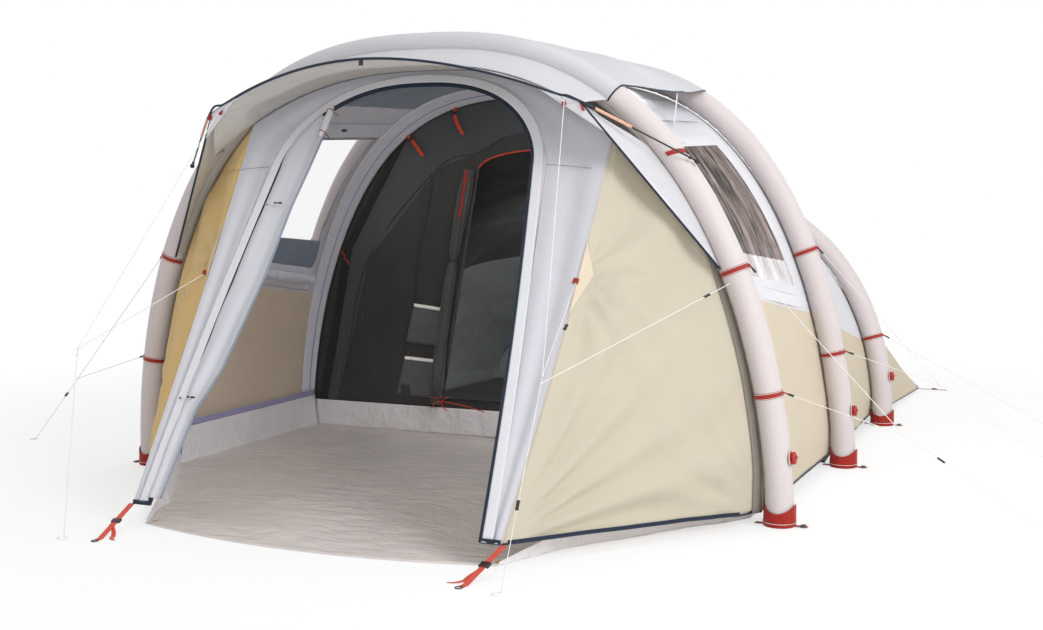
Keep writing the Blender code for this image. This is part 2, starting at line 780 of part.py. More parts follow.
def seam_point(share):
    """The seam between the front panel and its side wing, bowed a little outwards."""
    top = crease(CREASE_ROW)
    x = PANEL_HEM_X + (top[0] - PANEL_HEM_X) * share + SEAM_BELLY * np.sin(math.pi * share)
    z = PANEL_HEM_Z + (top[2] - PANEL_HEM_Z) * share
    return panel_point(x, z)


def door_point(share):
    """The doorway's right edge, from the hem (0) to the middle of its round head (1)."""
    if share <= DOOR_LEG_SHARE:
        way = share / DOOR_LEG_SHARE
        z = PANEL_HEM_Z + (DOOR_SHOULDER_Z - PANEL_HEM_Z) * way
        x = DOOR_HALF_WIDTH + (DOOR_SHOULDER_HALF_WIDTH - DOOR_HALF_WIDTH) * way
        x += DOOR_BULGE * math.sin(math.pi * way)
    else:
        turn = (share - DOOR_LEG_SHARE) / (1 - DOOR_LEG_SHARE) * math.pi / 2
        p, q = DOOR_ROUND_SHARES
        x = DOOR_SHOULDER_HALF_WIDTH * math.cos(turn) ** (2 / p)
        z = DOOR_SHOULDER_Z + (DOOR_TOP_Z - DOOR_SHOULDER_Z) * math.sin(turn) ** (2 / q)
    return panel_point(x, z)


def build_front_surround():
    """The grey panel round the doorway, from seam to seam and up to the crease."""
    legs = 9
    over = CROWN - CREASE_ROW
    right = []
    for i in range(legs):
        share = i / legs
        right.append((seam_point(share), door_point(share * DOOR_LEG_SHARE)))
    for i in range(over + 1):
        share = DOOR_LEG_SHARE + (1 - DOOR_LEG_SHARE) * i / over
        right.append((crease(CREASE_ROW + i), door_point(share)))
    rows = [between(outer, inner, np.array([0, 0.5, 1])) for outer, inner in right]
    rows += [row * MIRROR for row in rows[-2::-1]]
    sheet("front_surround", rows, "grey")


def build_front_wedge(side):
    """The beige side wing, between the panel's seam and the inner edge of the front beam."""
    rows = []
    count = 9
    for i in range(count + 1):
        share = i / count
        row = share * CREASE_ROW
        back = beam_point("front", at_row("front", row), -SEAT - tuck(row), -FOLD_GAP / 2)
        front = seam_point(share)
        away = (back - front) / np.linalg.norm(back - front)
        front = front + away * WEDGE_GAP
        points = between(front, back, np.array([0, 1 / 3, 2 / 3, 1]))
        rows.append(points if side == "right" else points * MIRROR)
    sheet("front_wedge_" + side, rows, "beige")


def canopy_edge(share):
    """The canopy's front edge, bowed by its rod, from one tip (-1) to the other (1)."""
    forward, up = CANOPY_BOW_SHARES
    size = abs(share)
    tip_z = FRONT_HEIGHT * TIP_HEIGHT_SHARE
    return np.array(
        [
            TIP_X * share,
            TIP_Y + (CANOPY_FRONT_Y - TIP_Y) * (1 - size**forward),
            tip_z + (FRONT_HEIGHT - CANOPY_PEAK_DROP - tip_z) * (1 - size**up),
        ]
    )


def wing_line(row):
    """The canopy's seam beside the front beam, on its inner front quarter."""
    seat = (BEAM_RADIUS + SEAM_GAP + FABRIC / 2) / math.sqrt(2)
    return beam_point("front", at_row("front", row), -seat, -seat)


def build_canopy():
    """The canopy in front of the beam: its peak over the door and a wing down each side."""
    tip = canopy_edge(1)
    wing_end = wing_line(WINDOW_LOW) + [FABRIC, -FABRIC, 0]
    right = []
    for row in range(WINDOW_LOW, CREASE_ROW):
        share = (row - WINDOW_LOW) / (CREASE_ROW - WINDOW_LOW)
        right.append((wing_line(row), wing_end + (tip - wing_end) * share))
    over = CROWN - CREASE_ROW
    lift = FABRIC + SEAM_GAP
    for i in range(over + 1):
        inner = crease(CREASE_ROW + i, lift) + [0, -SEAM_GAP, 0]
        width = crease(CREASE_ROW, lift)[0]
        right.append((inner, canopy_edge(inner[0] / width)))
    rows = [between(inner, outer, np.array([0, 1 / 3, 2 / 3, 1])) for inner, outer in right]
    rows += [row * MIRROR for row in rows[-2::-1]]
    sheet("canopy", rows, "white")


def smooth_path(points, count):
    """Points at even steps on a smooth curve through the given ones."""
    points = np.asarray(points, float)
    padded = np.vstack([2 * points[0] - points[1], points, 2 * points[-1] - points[-2]])
    fine = []
    for i in range(1, len(padded) - 2):
        a, b, c, d = padded[i - 1 : i + 3]
        for t in np.linspace(0, 1, 12, endpoint=False):
            bend = (2 * a - 5 * b + 4 * c - d) * t**2 + (3 * b - a - 3 * c + d) * t**3
            fine.append((2 * b + (c - a) * t + bend) / 2)
    fine.append(points[-1])
    fine = np.array(fine)
    run = np.concatenate([[0], np.cumsum(np.linalg.norm(np.diff(fine, axis=0), axis=1))])
    at = np.linspace(0, run[-1], count)
    return np.stack([np.interp(at, run, fine[:, k]) for k in range(3)], -1)


def rod_end():
    """Where the rod ends on the right, outside the front beam."""
    angle = angle_at("front", FRONT_HEIGHT * ROD_END_SHARE)
    out = BEAM_RADIUS + ROD_BALL_RADIUS + ROD_END_CLEAR
    return beam_point("front", angle, out, -ROD_END_AHEAD)


def build_canopy_rod():
    """The sprung rod in the canopy's front edge, with a ball at each end outside the beam."""
    reach = ROD_RADIUS + FABRIC / 2
    shares = np.linspace(-ROD_EDGE_SHARE, ROD_EDGE_SHARE, 11)
    edge = [canopy_edge(s) + [0, -reach, 0] for s in shares]
    tip = canopy_edge(1) + np.array([reach, -reach, reach / 2])
    end = rod_end()
    points = [end * MIRROR, tip * MIRROR, *edge, tip, end]
    path = smooth_path(points, 30)
    along = (path[-1] - path[-2]) / np.linalg.norm(path[-1] - path[-2])
    bulge = ROD_BALL_RADIUS / ROD_RADIUS
    turns = np.radians([140, 90, 40])
    shares = [bulge * math.sin(a) for a in turns]
    right = [path[-1] - along * ROD_BALL_RADIUS * math.cos(math.pi - a) for a in turns]
    left = [p * MIRROR for p in right[::-1]]
    body = list(path[1:-1])
    points = left + body + right
    radii = shares[::-1] + [1] * len(body) + shares
    tube("canopy_rod", points, ROD_RADIUS, "rod", radii=radii, resolution=2)


def build_rod_strap(side):
    """The short strap that holds the rod's ball against the beam, led round the beam's front."""
    end = rod_end()
    lift = BEAM_RADIUS + FABRIC
    rows = []
    low = angle_at("front", end[2])
    high = angle_at("front", end[2] + BEAM_RADIUS)
    turns = np.radians([-80, -55, -30, -5, 20])
    for i, turn in enumerate(turns):
        angle = high + (low - high) * i / (len(turns) - 1)
        point = beam_point("front", angle, lift * math.cos(turn), lift * math.sin(turn))
        rise = beam_point("front", angle + math.radians(2)) - beam_point("front", angle)
        rise = rise / np.linalg.norm(rise) * ROD_STRAP_WIDTH / 2
        rows.append([point - rise, point + rise])
    rows = np.array(rows)
    rows = rows if side == "right" else rows * MIRROR
    sheet("rod_strap_" + side, rows, "red", thickness=WEBBING)


def leaf_ahead(column):
    """How far ahead of the front panel the door leaf lies: at its seam against it, then folded."""
    turn = 3 * math.pi * LEAF_ACROSS_SHARES[column]
    return FABRIC + SEAM_GAP + LEAF_RIPPLE * (1 - math.cos(turn))


def leaf_edge(z):
    """The free edge of the tied-back door leaf: how far left of the centre line, at a height."""
    heights = [LEAF_LOW_Z, LEAF_LOWER_TIE_Z, LEAF_UPPER_TIE_Z, LEAF_TOP_Z]
    reach = [LEAF_LOW_X, LEAF_LOWER_TIE_X, LEAF_UPPER_TIE_X, LEAF_TOP_X]
    return np.interp(z, heights, reach)


def door_half_width(z):
    """Half the doorway's width at a height."""
    shares = np.linspace(0, 1, 60)
    edge = np.array([door_point(s) for s in shares])
    return np.interp(z, edge[:, 2], edge[:, 0])


def build_door_leaf():
    """The door leaf, drawn to the left and tied at two places, hanging in long folds."""
    rows = []
    count = 15
    for i in range(count):
        z = LEAF_LOW_Z + (LEAF_TOP_Z - LEAF_LOW_Z) * i / (count - 1)
        outer = door_half_width(z) + LEAF_DEPTH
        x = -(outer + (leaf_edge(z) - outer) * LEAF_ACROSS_SHARES)
        rows.append([panel_point(x[k], z, leaf_ahead(k)) for k in range(len(x))])
    sheet("door_leaf", rows, "grey")


def build_toggle(name, z):
    """A small bar that holds the rolled edge of the door leaf."""
    lean = PANEL_LEAN_SHARE / math.hypot(1, PANEL_LEAN_SHARE)
    here = z + (FABRIC + 2 * LEAF_RIPPLE + TOGGLE_RADIUS) * lean
    x = leaf_edge(here)
    outer = door_half_width(here) + LEAF_DEPTH
    columns = outer + (x - outer) * LEAF_ACROSS_SHARES
    ahead = [leaf_ahead(k) for k in range(len(columns))]
    span = np.linspace(x, x + TOGGLE_LENGTH, len(columns))
    near = np.interp(span, columns[::-1], ahead[::-1]).max()
    ahead = near + FABRIC / 2 + SEAM_GAP + TOGGLE_RADIUS
    middle = panel_point(np.array(-x - TOGGLE_LENGTH / 2), np.array(z), ahead)
    half = np.array([TOGGLE_LENGTH / 2, 0, 0])
    points = [middle - half, middle - half / 2, middle, middle + half / 2, middle + half]
    tube(name, points, TOGGLE_RADIUS, "plastic", radii=TOGGLE_SHARES)


# Floor and bedroom


def bedroom_front_y():
    """Where the middle of the bedroom's front wall stands."""
    return bedroom_ring(BEDROOM_FRONT_SHARE)[0, 1] - FABRIC * 3 / 4


def floor_back_y():
    """Where the floor's back wall rises: it leans against the bedroom's front."""
    return bedroom_front_y() - FABRIC - SEAM_GAP - FLOOR_WALL_LEAN / 2


def floor_side(y):
    """Half the living-room floor's width at a place along it."""
    places = [FLOOR_FRONT_CORNER_Y, FLOOR_SIDE_FRONT_Y, FLOOR_SIDE_Y, floor_back_y()]
    widths = [FLOOR_FRONT_HALF_WIDTH, FLOOR_SIDE_FRONT_X, FLOOR_HALF_WIDTH, FLOOR_HALF_WIDTH]
    return float(np.interp(y, places, widths))


def build_groundsheet():
    """The living-room floor: a tub with walls at the sides and back and a low lip in front."""
    base = FABRIC / 2
    shares = np.linspace(-1, 1, 9)
    places = [
        FLOOR_FRONT_CORNER_Y,
        FLOOR_SIDE_FRONT_Y,
        (FLOOR_SIDE_FRONT_Y + FLOOR_SIDE_Y) / 2,
        FLOOR_SIDE_Y,
        (FLOOR_SIDE_Y + floor_back_y()) / 2,
        floor_back_y(),
    ]
    grown = (FLOOR_FRONT_WALL, FLOOR_WALL / 2, FLOOR_WALL, FLOOR_WALL, FLOOR_WALL, FLOOR_WALL)
    rows = []
    for y, wall in zip(places, grown):
        half = floor_side(y)
        reach = max(places[1] - y, 0) / (places[1] - places[0])
        bow = (FLOOR_FRONT_MIDDLE_Y - FLOOR_FRONT_CORNER_Y) * reach
        lean = FLOOR_WALL_LEAN * wall / FLOOR_WALL
        row = [(-half - lean, y, base + wall)]
        row += [(half * s, y + bow * (1 - s**2), base) for s in shares]
        row.append((half + lean, y, base + wall))
        rows.append(row)
    half = floor_side(floor_back_y())
    back = floor_back_y() + FLOOR_WALL_LEAN / 2
    top = [(half * s, back, base + FLOOR_BACK_WALL) for s in shares]
    rows.append([rows[-1][0], *top, rows[-1][-1]])
    sheet("groundsheet", rows, "floor")


def bedroom_ring(share):
    """One closed section of the bedroom: over its roof by every other station, and its floor."""
    rows = np.concatenate([[0.7], np.arange(2, LAST_ROW, 2), [LAST_ROW - 0.7]])
    over = np.array([bedroom_skin(r, share, SEAT + BEDROOM_INSET) for r in rows])
    over[:, 1] = over[:, 1].mean()
    base = FABRIC / 2 + SEAM_GAP
    half = over[0, 0]
    floor = [(half * s, over[0, 1], base) for s in (-1, -0.5, 0, 0.5, 1)]
    return np.vstack([over, floor])


def build_bedroom_shell():
    """The dark bedroom: roof, sides, back and floor in one, open towards the living room."""
    first = BEDROOM_FRONT_SHARE
    rings = [bedroom_ring(s) for s in (first, (1 + first) / 2, 1)]
    wide, high = BEDROOM_TAIL_SHARES
    last = rings[-1] * [wide, 1, high] + [0, BEDROOM_TAIL, 0]
    last[:, 2] = np.maximum(last[:, 2], rings[-1][-1, 2])
    centre = last.mean(axis=0)
    rings += [last, centre + (last - centre) / 2, np.repeat(centre[None], len(last), axis=0)]
    sheet("bedroom_shell", np.stack(rings, 1), "black", closed=True)


def bedroom_door_ring(outer):
    """The bedroom doorway, with one point for each point of the section round it."""
    centre = np.array([(BED_DOOR_LEFT_TOP_X + BED_DOOR_RIGHT_X) / 2, outer[0, 1], 0])
    low = BEDROOM_SILL_Z
    middle_z = (BEDROOM_SILL_Z + BED_DOOR_TOP_Z) / 2
    points = []
    for p in outer:
        reach = np.array([p[0] - centre[0], p[2] - middle_z])
        way = np.linspace(0, 1, 200)
        x = centre[0] + reach[0] * way
        z = middle_z + reach[1] * way
        height = np.clip((z - low) / (BED_DOOR_SHOULDER_Z - low), 0, 1)
        left = BED_DOOR_LEFT_LOW_X + (BED_DOOR_LEFT_TOP_X - BED_DOOR_LEFT_LOW_X) * height
        half = (BED_DOOR_RIGHT_X - left) / 2
        side = np.abs((x - (left + half)) / half)
        head = np.clip((z - BED_DOOR_SHOULDER_Z) / (BED_DOOR_TOP_Z - BED_DOOR_SHOULDER_Z), 0, 9)
        inside = (side**3 + head**2 < 1) & (z > low)
        best = way[inside].max()
        points.append((centre[0] + reach[0] * best, outer[0, 1], middle_z + reach[1] * best))
    return np.array(points)


def build_bedroom_front():
    """The bedroom's front wall, a ring of cloth round its doorway."""
    outer = bedroom_ring(BEDROOM_FRONT_SHARE)
    outer[:, 1] = bedroom_front_y()
    inner = bedroom_door_ring(outer)
    grid = np.stack([outer, (outer + inner) / 2, inner], 1)
    front = sheet("bedroom_front", grid, "black", closed=True)
    for row in HANGER_ROWS:
        for sign, station in ((1, row), (-1, row)):
            fly = at_front_wall(station, SEAT + FABRIC / 2 + SEAM_GAP + WEBBING / 2)
            wall = at_front_wall(station, SEAT + BEDROOM_INSET + STRAP_WIDTH)
            rise = (fly - wall) / np.linalg.norm(fly - wall)
            across = np.array([rise[2], 0, -rise[0]]) * STRAP_WIDTH / 2
            ends = [[p - across, p + across] for p in (wall, fly)]
            ends = np.array(ends) * [sign, 1, 1]
            hanger = sheet("hanger_{}_{}".format(row, sign), ends, "red", thickness=WEBBING)
            combine(front, hanger, "UNION")


def at_front_wall(row, inset):
    """A point of the bedroom front wall's plane, at a station and so far inside the beams."""
    near = bedroom_skin(row, 0, inset)
    far = bedroom_skin(row, 1, inset)
    return between(near, far, (bedroom_front_y() - near[1]) / (far[1] - near[1]))


def build_door_roll():
    """The bedroom's door, rolled to the left of its doorway and tied."""
    y = bedroom_front_y() - FABRIC / 2 - SEAM_GAP - DOOR_ROLL_RADIUS
    low = np.array([BED_DOOR_LEFT_LOW_X - DOOR_ROLL_RADIUS, y, BEDROOM_SILL_Z])
    high = np.array([BED_DOOR_LEFT_TOP_X - DOOR_ROLL_RADIUS, y, BED_DOOR_SHOULDER_Z])
    shares = np.linspace(0, 1, len(ROLL_SHARES))
    bow = np.outer(np.sin(math.pi * shares), [-DOOR_ROLL_RADIUS / 2, 0, 0])
    points = between(low, high, shares) + bow
    tube("bedroom_door_roll", points, DOOR_ROLL_RADIUS, "black", ROLL_SHARES, resolution=3)


# Corner straps, guy lines and their runners


def strap_points(side):
    """The run of a front corner strap, from under the panel's hem down to its peg end."""
    top = panel_point(np.array(STRAP_TOP_X), np.array(PANEL_HEM_Z))
    start = top + [0, FABRIC, -(FABRIC / 4 + SEAM_GAP + WEBBING / 2)]
    end = np.array([STRAP_END_X, STRAP_END_Y, WEBBING])
    back = (start - end) * [1, 1, 0]
    knee = end + back / np.linalg.norm(back) * STRAP_WIDTH
    path = np.array([start, start + (knee - start) * 0.5, knee, end])
    return path if side == "right" else path * MIRROR


def build_corner_strap(side):
    """Red webbing from the front panel's corner to its peg."""
    path = strap_points(side)
    along = path[-1] - path[0]
    across = np.array([along[1], -along[0], 0]) / math.hypot(along[0], along[1])
    across = across * STRAP_WIDTH / 2
    rows = [[p - across, p + across] for p in path]
    sheet("corner_strap_front_" + side, rows, "red", thickness=WEBBING)


def build_buckle():
    """The ladder buckle that slides on the right front strap, with its slot for the webbing."""
    path = strap_points("right")
    along = path[1] - path[0]
    place = frame_matrix((path[0] + path[2]) / 2, along, (0, 0, 1))
    size = (BUCKLE_WIDTH, BUCKLE_HEIGHT, BUCKLE_LENGTH)
    buckle = block("strap_buckle", size, place, "plastic", bevel=BUCKLE_HEIGHT / 8)
    slot = (STRAP_WIDTH + 2 * SEAM_GAP, WEBBING + 2 * SEAM_GAP, 2 * BUCKLE_LENGTH)
    combine(buckle, block("slot", slot, place, "plastic"), "DIFFERENCE")


def surface_start(arch, band, towards, drop=0):
    """A point just off a beam's band, on the side that faces the given place."""
    height = ARCHES[arch][1] * BAND_SHARES[arch][band] - drop
    angle = angle_at(arch, height)
    axis = beam_point(arch, angle)
    along = beam_point(arch, angle + math.radians(1)) - axis
    along = along / np.linalg.norm(along)
    line = (np.asarray(towards) - axis) / np.linalg.norm(np.asarray(towards) - axis)
    way = line - along * np.dot(line, along)
    tilt = abs(np.dot(line, along))
    way = way / np.linalg.norm(way)
    proud = BAND_THICKNESS if drop == 0 else 0
    facet = 1 - math.cos(math.pi / (4 + 2 * BEAM_SIDES_RESOLUTION))
    seat = (BEAM_RADIUS + proud) * (1 - facet / 2)
    return axis + way * (seat + GUY_RADIUS * tilt + SEAM_GAP * 4 / 5)


def ground_loop(point, before):
    """The tied loop at a line's end, lying flat on the ground round its peg's place."""
    ahead = point - before
    ahead[2] = 0
    ahead = ahead / np.linalg.norm(ahead)
    side = np.array([-ahead[1], ahead[0], 0])
    centre = point + ahead * GUY_LOOP_RADIUS
    turns = np.radians(np.linspace(205, 500, 9))
    ring = [
        centre + GUY_LOOP_RADIUS * (ahead * math.cos(a) + side * math.sin(a)) for a in turns
    ]
    return ring


def guy(name, corners, side, knots=(), loop=False):
    """A taut line through its corners, swollen at its knots, with a loop at its end if asked."""
    corners = [np.asarray(c, float) for c in corners]
    lengths = [np.linalg.norm(b - a) for a, b in zip(corners, corners[1:])]
    points, radii = [], []
    for i, (a, b) in enumerate(zip(corners, corners[1:])):
        steps = max(2, round(GUY_POINTS * lengths[i] / sum(lengths)))
        along = (b - a) / lengths[i]
        if i in knots:
            points += [a, a + along * KNOT_LENGTH]
            radii += [KNOT_SHARE, 1]
        elif i == 0:
            points.append(a)
            radii.append(1)
        points += [a + (b - a) * k / steps for k in range(1, steps)]
        radii += [1] * (steps - 1)
        if i + 1 in knots:
            points.append(b - along * KNOT_LENGTH)
            radii.append(1)
    points.append(corners[-1])
    radii.append(1)
    if loop:
        ring = ground_loop(corners[-1].copy(), corners[-2])
        points += ring
        radii += [1] * len(ring)
    points = np.array(points)
    points = points if side == "right" else points * MIRROR
    tube(name, points, GUY_RADIUS, "line", radii=radii)


def stop_short(point, knot, ends):
    """The end of a line that is tied at a knot of another, just clear of that line's two arms."""
    point, knot = np.asarray(point, float), np.asarray(knot, float)
    back = (point - knot) / np.linalg.norm(point - knot)
    far = KNOT_SHARE * GUY_RADIUS + SEAM_GAP
    for end in ends:
        arm = (np.asarray(end) - knot) / np.linalg.norm(np.asarray(end) - knot)
        cosine = float(np.dot(back, arm))
        if cosine > 0:
            far = max(far, (2 * GUY_RADIUS + SEAM_GAP) / math.sqrt(1 - cosine**2))
    return knot + back * far


def guy_routes():
    """Every line's corners, by name: where it starts, its knots and its end."""
    tab = canopy_edge(CANOPY_TAB_SHARE) + [0, 0, -(FABRIC / 2 + GUY_CLEAR + GUY_RADIUS)]
    seam = seam_point(SEAM_TAB_SHARE)
    out = np.array(FRONT_KNOT) - seam
    seam = seam + out / np.linalg.norm(out) * (FABRIC / 2 + GUY_RADIUS + SEAM_GAP)
    tail = np.array(FRONT_PEG) - FRONT_KNOT
    second = FRONT_KNOT + tail / np.linalg.norm(tail) * SECOND_KNOT_STEP
    upper_front = surface_start("front", 1, second, 3 * BAND_WIDTH / 2)
    upper = surface_start("front", 1, SIDE_KNOT)
    lower = surface_start("front", 0, SIDE_KNOT)
    high = surface_start("middle", 1, MIDDLE_KNOT)
    low = surface_start("middle", 0, MIDDLE_KNOT)
    routes = {
        "guy_canopy": ((tab, FRONT_KNOT, second, FRONT_PEG), (1, 2), True),
        "guy_seam": ((seam, stop_short(seam, FRONT_KNOT, (tab, FRONT_PEG))), (), False),
        "guy_side_upper": ((upper, SIDE_KNOT, SIDE_PEG), (1,), True),
        "guy_side_lower": ((lower, stop_short(lower, SIDE_KNOT, (upper, SIDE_PEG))), (), False),
    }
    right = {
        "guy_front": (
            (upper_front, stop_short(upper_front, second, (FRONT_KNOT, FRONT_PEG))),
            (),
            False,
        ),
        "guy_middle_upper": ((high, MIDDLE_KNOT, MIDDLE_PEG), (1,), True),
        "guy_middle_lower": (
            (low, stop_short(low, MIDDLE_KNOT, (high, MIDDLE_PEG))),
            (),
            False,
        ),
        "guy_rear": ((surface_start("rear", 0, REAR_PEG), REAR_PEG), (), True),
    }
    return routes, right


def build_guys():
    """The guy lines of both sides, and the plastic runners that slide on them."""
    routes, right_only = guy_routes()
    for side in SIDES:
        for name, (corners, knots, loop) in routes.items():
            guy("{}_{}".format(name, side), corners, side, knots, loop)
    for name, (corners, knots, loop) in right_only.items():
        guy(name + "_right", corners, "right", knots, loop)
    build_runner("front", *right_only["guy_front"][0], "right")
    build_runner("seam", *routes["guy_seam"][0], "right")
    build_runner("canopy", FRONT_KNOT, FRONT_PEG, "right")
    for side in SIDES:
        build_runner("side", SIDE_KNOT, SIDE_PEG, side)


def build_runner(line, start, end, side):
    """A plastic runner on a line: a small waisted bar with a hole that the line runs through."""
    name = "runner_{}_{}".format(line, side)
    start, end = np.asarray(start, float), np.asarray(end, float)
    middle = start + (end - start) * RUNNER_SHARES[line]
    if side == "left":
        middle, start, end = middle * MIRROR, start * MIRROR, end * MIRROR
    along = (end - start) / np.linalg.norm(end - start)
    place = frame_matrix(middle, along, (0, 0, 1))
    size = (RUNNER_WIDTH, RUNNER_HEIGHT, RUNNER_LENGTH)
    runner = block(name, size, place, "plastic", bevel=RUNNER_HEIGHT / 5)
    bore = GUY_RADIUS + SEAM_GAP
    base = place @ Matrix.Translation((0, 0, -RUNNER_LENGTH))
    drill = cylinder("bore_" + name, bore, 2 * RUNNER_LENGTH, base, "plastic", sides=12)
    combine(runner, drill, "DIFFERENCE")


def build():
    """The whole tent."""
    clear_scene()
    for arch in ARCHES:
        build_beam(arch)
        for side in SIDES:
            build_boot(arch, side)
    build_living_fly()
    build_roof()
    build_bedroom_fly()
    build_end_wall()
    for side in SIDES:
        build_window(side)
        build_vent(side)
        build_front_wedge(side)
        build_rod_strap(side)
        build_corner_strap(side)
    build_front_surround()
    build_canopy()
    build_canopy_rod()
    build_door_leaf()
    build_toggle("door_toggle_upper", LEAF_UPPER_TIE_Z)
    build_toggle("door_toggle_lower", LEAF_LOWER_TIE_Z)
    build_groundsheet()
    build_bedroom_shell()
    build_bedroom_front()
    build_door_roll()
    build_buckle()
    build_guys()


build()
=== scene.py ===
"""Looks of the inflatable family tent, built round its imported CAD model.

Metres, +Z up, the front faces -Y and the side with the valves is +X, as in the frame. Every
panel is worked out again from the three beams' centre lines, on a fine grid, with its folds.
"""
import math

import bmesh
import bpy
import numpy as np
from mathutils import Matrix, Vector


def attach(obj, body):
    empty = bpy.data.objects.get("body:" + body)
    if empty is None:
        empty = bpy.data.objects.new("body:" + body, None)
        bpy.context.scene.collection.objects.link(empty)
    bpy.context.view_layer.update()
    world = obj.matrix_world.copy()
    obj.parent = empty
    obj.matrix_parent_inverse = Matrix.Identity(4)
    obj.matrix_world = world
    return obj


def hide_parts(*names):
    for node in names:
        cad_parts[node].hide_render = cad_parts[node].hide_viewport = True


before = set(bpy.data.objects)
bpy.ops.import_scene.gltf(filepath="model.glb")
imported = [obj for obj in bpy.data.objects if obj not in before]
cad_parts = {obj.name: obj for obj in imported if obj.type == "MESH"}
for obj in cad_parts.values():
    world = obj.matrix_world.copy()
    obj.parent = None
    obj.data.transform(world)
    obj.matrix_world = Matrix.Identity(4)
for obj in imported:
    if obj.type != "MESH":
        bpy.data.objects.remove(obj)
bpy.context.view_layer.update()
ROOT = "tent"
UP = (0, 0, 1.0)
FORE = (0, 1.0, 0)
MIRROR = np.array([-1.0, 1.0, 1.0])
SIDES = {"right": 1, "left": -1}

# Camera
CAMERA_PLACE = (2.7105, -6.4638, 1.2820)
CAMERA_TURN = (math.pi / 2 - 0.0897, 0.0, 0.4161)
CAMERA_LENS = 47.68
CAMERA_SHIFT = (-0.0005, 0.0014)

# Beams: half width, height, foot along the tent and lean; then the powers of their round shape
ARCHES = {
    "front": (1.500, 1.879, -1.260, -0.079),
    "middle": (1.504, 1.878, 0.0, -0.087),
    "rear": (1.475, 1.315, 1.264, 0.055),
}
ROUND_POWERS = {"front": (2.58, 1.957), "middle": (2.99, 1.79), "rear": (2.757, 2.143)}
BEAM_RADIUS = 0.055
BAND_SHARES = {"front": (0.271, 0.524), "middle": (0.285, 0.536), "rear": (0.367,)}
BAND_WIDTH = 0.025
VALVE_HEIGHT = 0.262

# Rows of the panels, counted from the right hem: the shares of a beam's height at the key rows
KEY_SHARES = {
    "front": (0.490, 0.535, 0.798, 0.860, 0.8785),
    "middle": (0.391, 0.444, 0.828, 0.884, 0.912),
    "rear": (0.365, 0.430, 0.800, 0.860, 0.900),
}
KEY_STEPS = (5, 1, 5, 1, 1, 6)
LINE_ROW, WINDOW_LOW, WINDOW_TOP, WALL_TOP, SLEEVE_END, CROWN = map(int, np.cumsum(KEY_STEPS))
LAST_ROW = 2 * CROWN
CREASE_ROW = SLEEVE_END - 2
CORNER_ROW = round(CROWN / 2)
ALL_ROWS = np.linspace(0, LAST_ROW, 6 * LAST_ROW + 1)

# Cloth
FLY = 0.0016
SHEET = 0.0014
SEAT = 0.0590
EDGE_GAP = 0.0007
HEM_HEIGHT = 0.048
HEM_TUCK = 0.012
ROOF_LIFT = BEAM_RADIUS + 0.0028
SLEEVE_TURNS = np.radians(np.linspace(200, 90, 17))
CURTAIN_TIES = (0.06, 0.5, 0.94)
HOOD_DROP = 0.055
HOOD_PUSH = 0.020
WINDOW_FRONT = (0.276, 0.352)
WINDOW_REARS = {"right": (0.853, 0.808), "left": (0.885, 0.922)}
WINDOW_TOPS = {"right": 11.0, "left": 11.5}
COLUMN_STEPS = (4, 6, 26, 6, 4)
REAR_CORNER = np.array([1.480, 2.660, 0.020])
REAR_CENTRE_Y = 2.750
REAR_PEG_END = (1.643, 2.780, 0.0022)

# Front panel, doorway and canopy
PANEL_HEM = (0.780, -2.274, 0.087)
PANEL_LEAN = 0.5728
TILT = np.array([0, -1, PANEL_LEAN]) / math.hypot(1, PANEL_LEAN)
SEAM_HEADS = {"right": 11.5, "left": 13.0}
SEAM_BELLIES = {"right": 0.014, "left": -0.015}
DOOR_HALF_WIDTH = 0.700
DOOR_SHOULDER = (0.570, 1.384)
DOOR_TOP_Z = 1.720
DOOR_POWERS = (2.5, 1.65)
DOOR_BULGE = 0.015
DOOR_LEG = 0.62
TIP = np.array([0.828, -1.660, 1.611])
CANOPY_PEAK = (-1.813, 1.791)
CANOPY_POWERS = (1.74, 1.93)
CREASE_LIFT = 0.0035
ROD_END_PLACE = (0.7232, 0.0714, -0.0229)
ROD_RADIUS = 0.0035
LEAF_EDGE = ((0.110, 0.648), (0.430, 0.612), (0.580, 0.548), (0.917, 0.483), (1.212, 0.455),
             (1.540, 0.396), (1.600, 0.404))
LEAF_TIES = (0.430, 1.212)
LEAF_RIPPLE = 0.006
LEAF_DEPTH = 0.030

# Floor
FLOOR_PLACES = (-2.235, -1.905, -1.560, -1.215, -0.528, 0.004)
FLOOR_HALVES = (0.752, 0.900, 1.136, 1.372, 1.372, 1.380)
FLOOR_WALLS = (0.012, 0.090, 0.180, 0.180, 0.180, 0.180)
FLOOR_FRONT_MIDDLE = -2.345
FLOOR_LEAN = 0.022

# Bedroom
BEDROOM_INSETS = (0.024, 0.085)
BEDROOM_FRONT_SHARE = 0.055
BEDROOM_FRONT_Y = 0.022
BEDROOM_TAIL = 0.840
BEDROOM_TAIL_SCALE = (0.97, 0.42)
BED_SILL = 0.190
BED_LEFT = (-0.610, -0.400)
BED_RIGHT = 0.640
BED_TOP = (1.390, 1.500)
CAD_RING_ROWS = np.concatenate([[0.7], np.arange(2, LAST_ROW, 2), [LAST_ROW - 0.7]])
SEAMS = {
    "fold": ((-0.149, 1.580), (-0.258, 1.560), (-0.407, 1.484), (-0.634, 1.408), (-1.060, 0.921),
             (-1.205, 0.346), (-1.270, 0.140)),
    "side": ((-0.790, 1.610), (-1.160, 0.977), (-1.330, 0.140)),
    "upright": ((-0.674, 1.375), (-0.687, 1.228), (-0.761, 0.915), (-0.781, 0.696)),
    "pocket": ((-0.781, 0.684), (-0.850, 0.380), (-0.880, 0.180)),
}
DOOR_KNOT = (-0.583, 0.187, 0.082)

